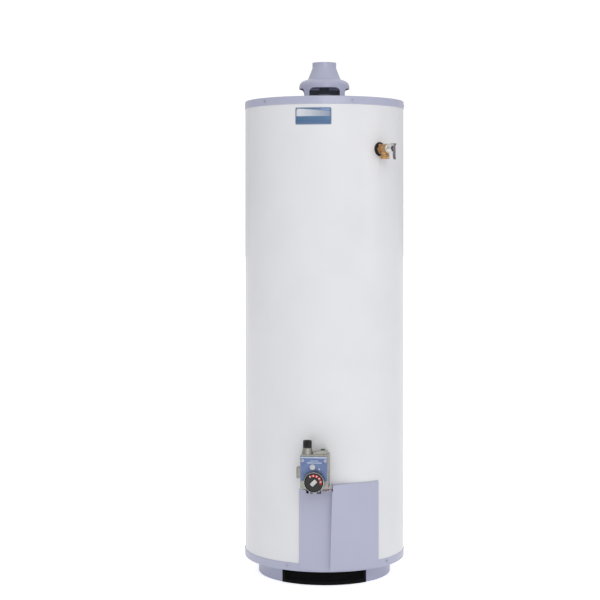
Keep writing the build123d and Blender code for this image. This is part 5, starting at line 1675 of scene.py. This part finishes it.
class HEATER_OT_connections(bpy.types.Operator):
    """Water connections on the lid, their marking rings and the anode's cap"""
    bl_idname = "heater.connections"
    bl_label = "Water connections"

    def execute(self, context):
        for name, x, replaced in (("hot_nipple", -NIPPLE_X, ["water_nipples"]),
                                  ("cold_nipple", NIPPLE_X, [])):
            finished(name, draw_nipple(x), "heater", "galvanised_pipe", replaced)
        finished("hot_mark_ring", draw_mark_ring(-NIPPLE_X), "heater", "red_plastic", ["hot_ring"])
        finished("cold_mark_ring", draw_mark_ring(NIPPLE_X), "heater", "blue_plastic", ["cold_ring"])
        finished("anode_cap", draw_anode_plug, "heater", "grey_plastic", ["anode_plug"])
        return {"FINISHED"}


class HEATER_OT_drain_valve(bpy.types.Operator):
    """Drain valve with its threaded spout and handwheel"""
    bl_idname = "heater.drain_valve"
    bl_label = "Drain valve"

    def execute(self, context):
        finished("drain_body", draw_drain_body, "heater", "brass", ["drain_valve_body"])
        finished("drain_bonnet_nut", draw_drain_bonnet, "heater", "brass", ["drain_bonnet"])
        finished("drain_handwheel", draw_handwheel, "drain_wheel", "handle_plastic", ["drain_handle"])
        return {"FINISHED"}


class HEATER_OT_stage(bpy.types.Operator):
    """Floor, light and camera"""
    bl_idname = "heater.stage"
    bl_label = "Stage"

    def execute(self, context):
        scene, light = context.scene, context.scene.heater_light
        shape = bmesh.new()
        bmesh.ops.create_grid(shape, x_segments=1, y_segments=1, size=40.0)
        floor = to_object("studio_floor", shape)
        floor.data.materials.append(plain_floor("white_paper_sweep"))
        self.light_world(scene, light.sky)
        for name, power, size, spot, aim in (
                ("key_light", light.key, 3.0, (0.9, -4.6, 3.4), (0.0, 0.0, 0.9)),
                ("side_light", light.side, 2.0, (3.6, -1.6, 1.8), (0.0, 0.0, 0.8))):
            lamp = bpy.data.lights.new(name, "AREA")
            lamp.shape, lamp.size, lamp.energy = "DISK", size, power
            holder = bpy.data.objects.new(name, lamp)
            holder.location = spot
            holder.rotation_euler = (Vector(aim) - Vector(spot)).to_track_quat("-Z", "Y").to_euler()
            scene.collection.objects.link(holder)
        lens = bpy.data.cameras.new("camera")
        lens.lens, lens.sensor_width = 87.54, 36.0
        lens.shift_y = -0.1333
        camera = bpy.data.objects.new("camera", lens)
        camera.location = (-0.0783, -4.699, 1.1237)
        camera.rotation_euler = (pi / 2, 0.0, 0.0)
        scene.collection.objects.link(camera)
        scene.camera = camera
        scene.view_settings.view_transform = "Standard"
        return {"FINISHED"}

    def light_world(self, scene, strength):
        """Even soft light from all sides, in front of a pure white backdrop."""
        scene.world = bpy.data.worlds.new("studio")
        scene.world.use_nodes = True
        tree = scene.world.node_tree
        tree.nodes.clear()
        heading = add(tree, "ShaderNodeSeparateXYZ",
                      Vector=add(tree, "ShaderNodeTexCoord").outputs["Generated"])
        level = spread(tree, heading.outputs[2], 0.72 * strength, 1.18 * strength, -0.1, 0.9)
        dim = spread(tree, math(tree, "ABSOLUTE", heading.outputs[0]), 1.0, 0.58, 0.40, 0.85)
        sky = add(tree, "ShaderNodeBackground", Color=(0.985, 0.99, 1.0, 1.0),
                  Strength=math(tree, "MULTIPLY", level, dim))
        paper = add(tree, "ShaderNodeBackground", Color=(1.0, 1.0, 1.0, 1.0), Strength=1.05)
        seen = add(tree, "ShaderNodeLightPath").outputs["Is Camera Ray"]
        mixed = add(tree, "ShaderNodeMixShader", _0=seen, _1=sky.outputs[0], _2=paper.outputs[0])
        add(tree, "ShaderNodeOutputWorld", Surface=mixed.outputs[0])


OPERATORS = (HEATER_OT_finishes, HEATER_OT_jacket, HEATER_OT_pans, HEATER_OT_screen,
             HEATER_OT_screws, HEATER_OT_hood, HEATER_OT_relief_valve, HEATER_OT_gas_control,
             HEATER_OT_dial, HEATER_OT_tubes, HEATER_OT_door, HEATER_OT_badge,
             HEATER_OT_connections, HEATER_OT_drain_valve, HEATER_OT_stage)
GROUPS = {"heater_finish": HeaterFinish, "heater_screen": ScreenSizes,
          "heater_screws": ScrewSizes, "heater_dial": DialMarks, "heater_light": StudioLight}


class HEATER_PT_builder(bpy.types.Panel):
    """Lists the heater's pieces and their sizes"""
    bl_idname = "HEATER_PT_builder"
    bl_label = "Water Heater"
    bl_space_type = "VIEW_3D"
    bl_region_type = "UI"
    bl_category = "Water Heater"

    def draw(self, context):
        for group, kind in GROUPS.items():
            box = self.layout.box()
            for field in kind.__annotations__:
                box.prop(getattr(context.scene, group), field)
        for operator in OPERATORS:
            self.layout.operator(operator.bl_idname)


def register():
    for kind in (*GROUPS.values(), *OPERATORS, HEATER_PT_builder):
        bpy.utils.register_class(kind)
    for name, kind in GROUPS.items():
        setattr(bpy.types.Scene, name, bpy.props.PointerProperty(type=kind))


def unregister():
    for name in GROUPS:
        delattr(bpy.types.Scene, name)
    for kind in (HEATER_PT_builder, *reversed(OPERATORS), *GROUPS.values()):
        bpy.utils.unregister_class(kind)


def main():
    register()
    for operator in OPERATORS:
        group, name = operator.bl_idname.split(".")
        getattr(getattr(bpy.ops, group), name)()


if __name__ == "__main__":
    main()
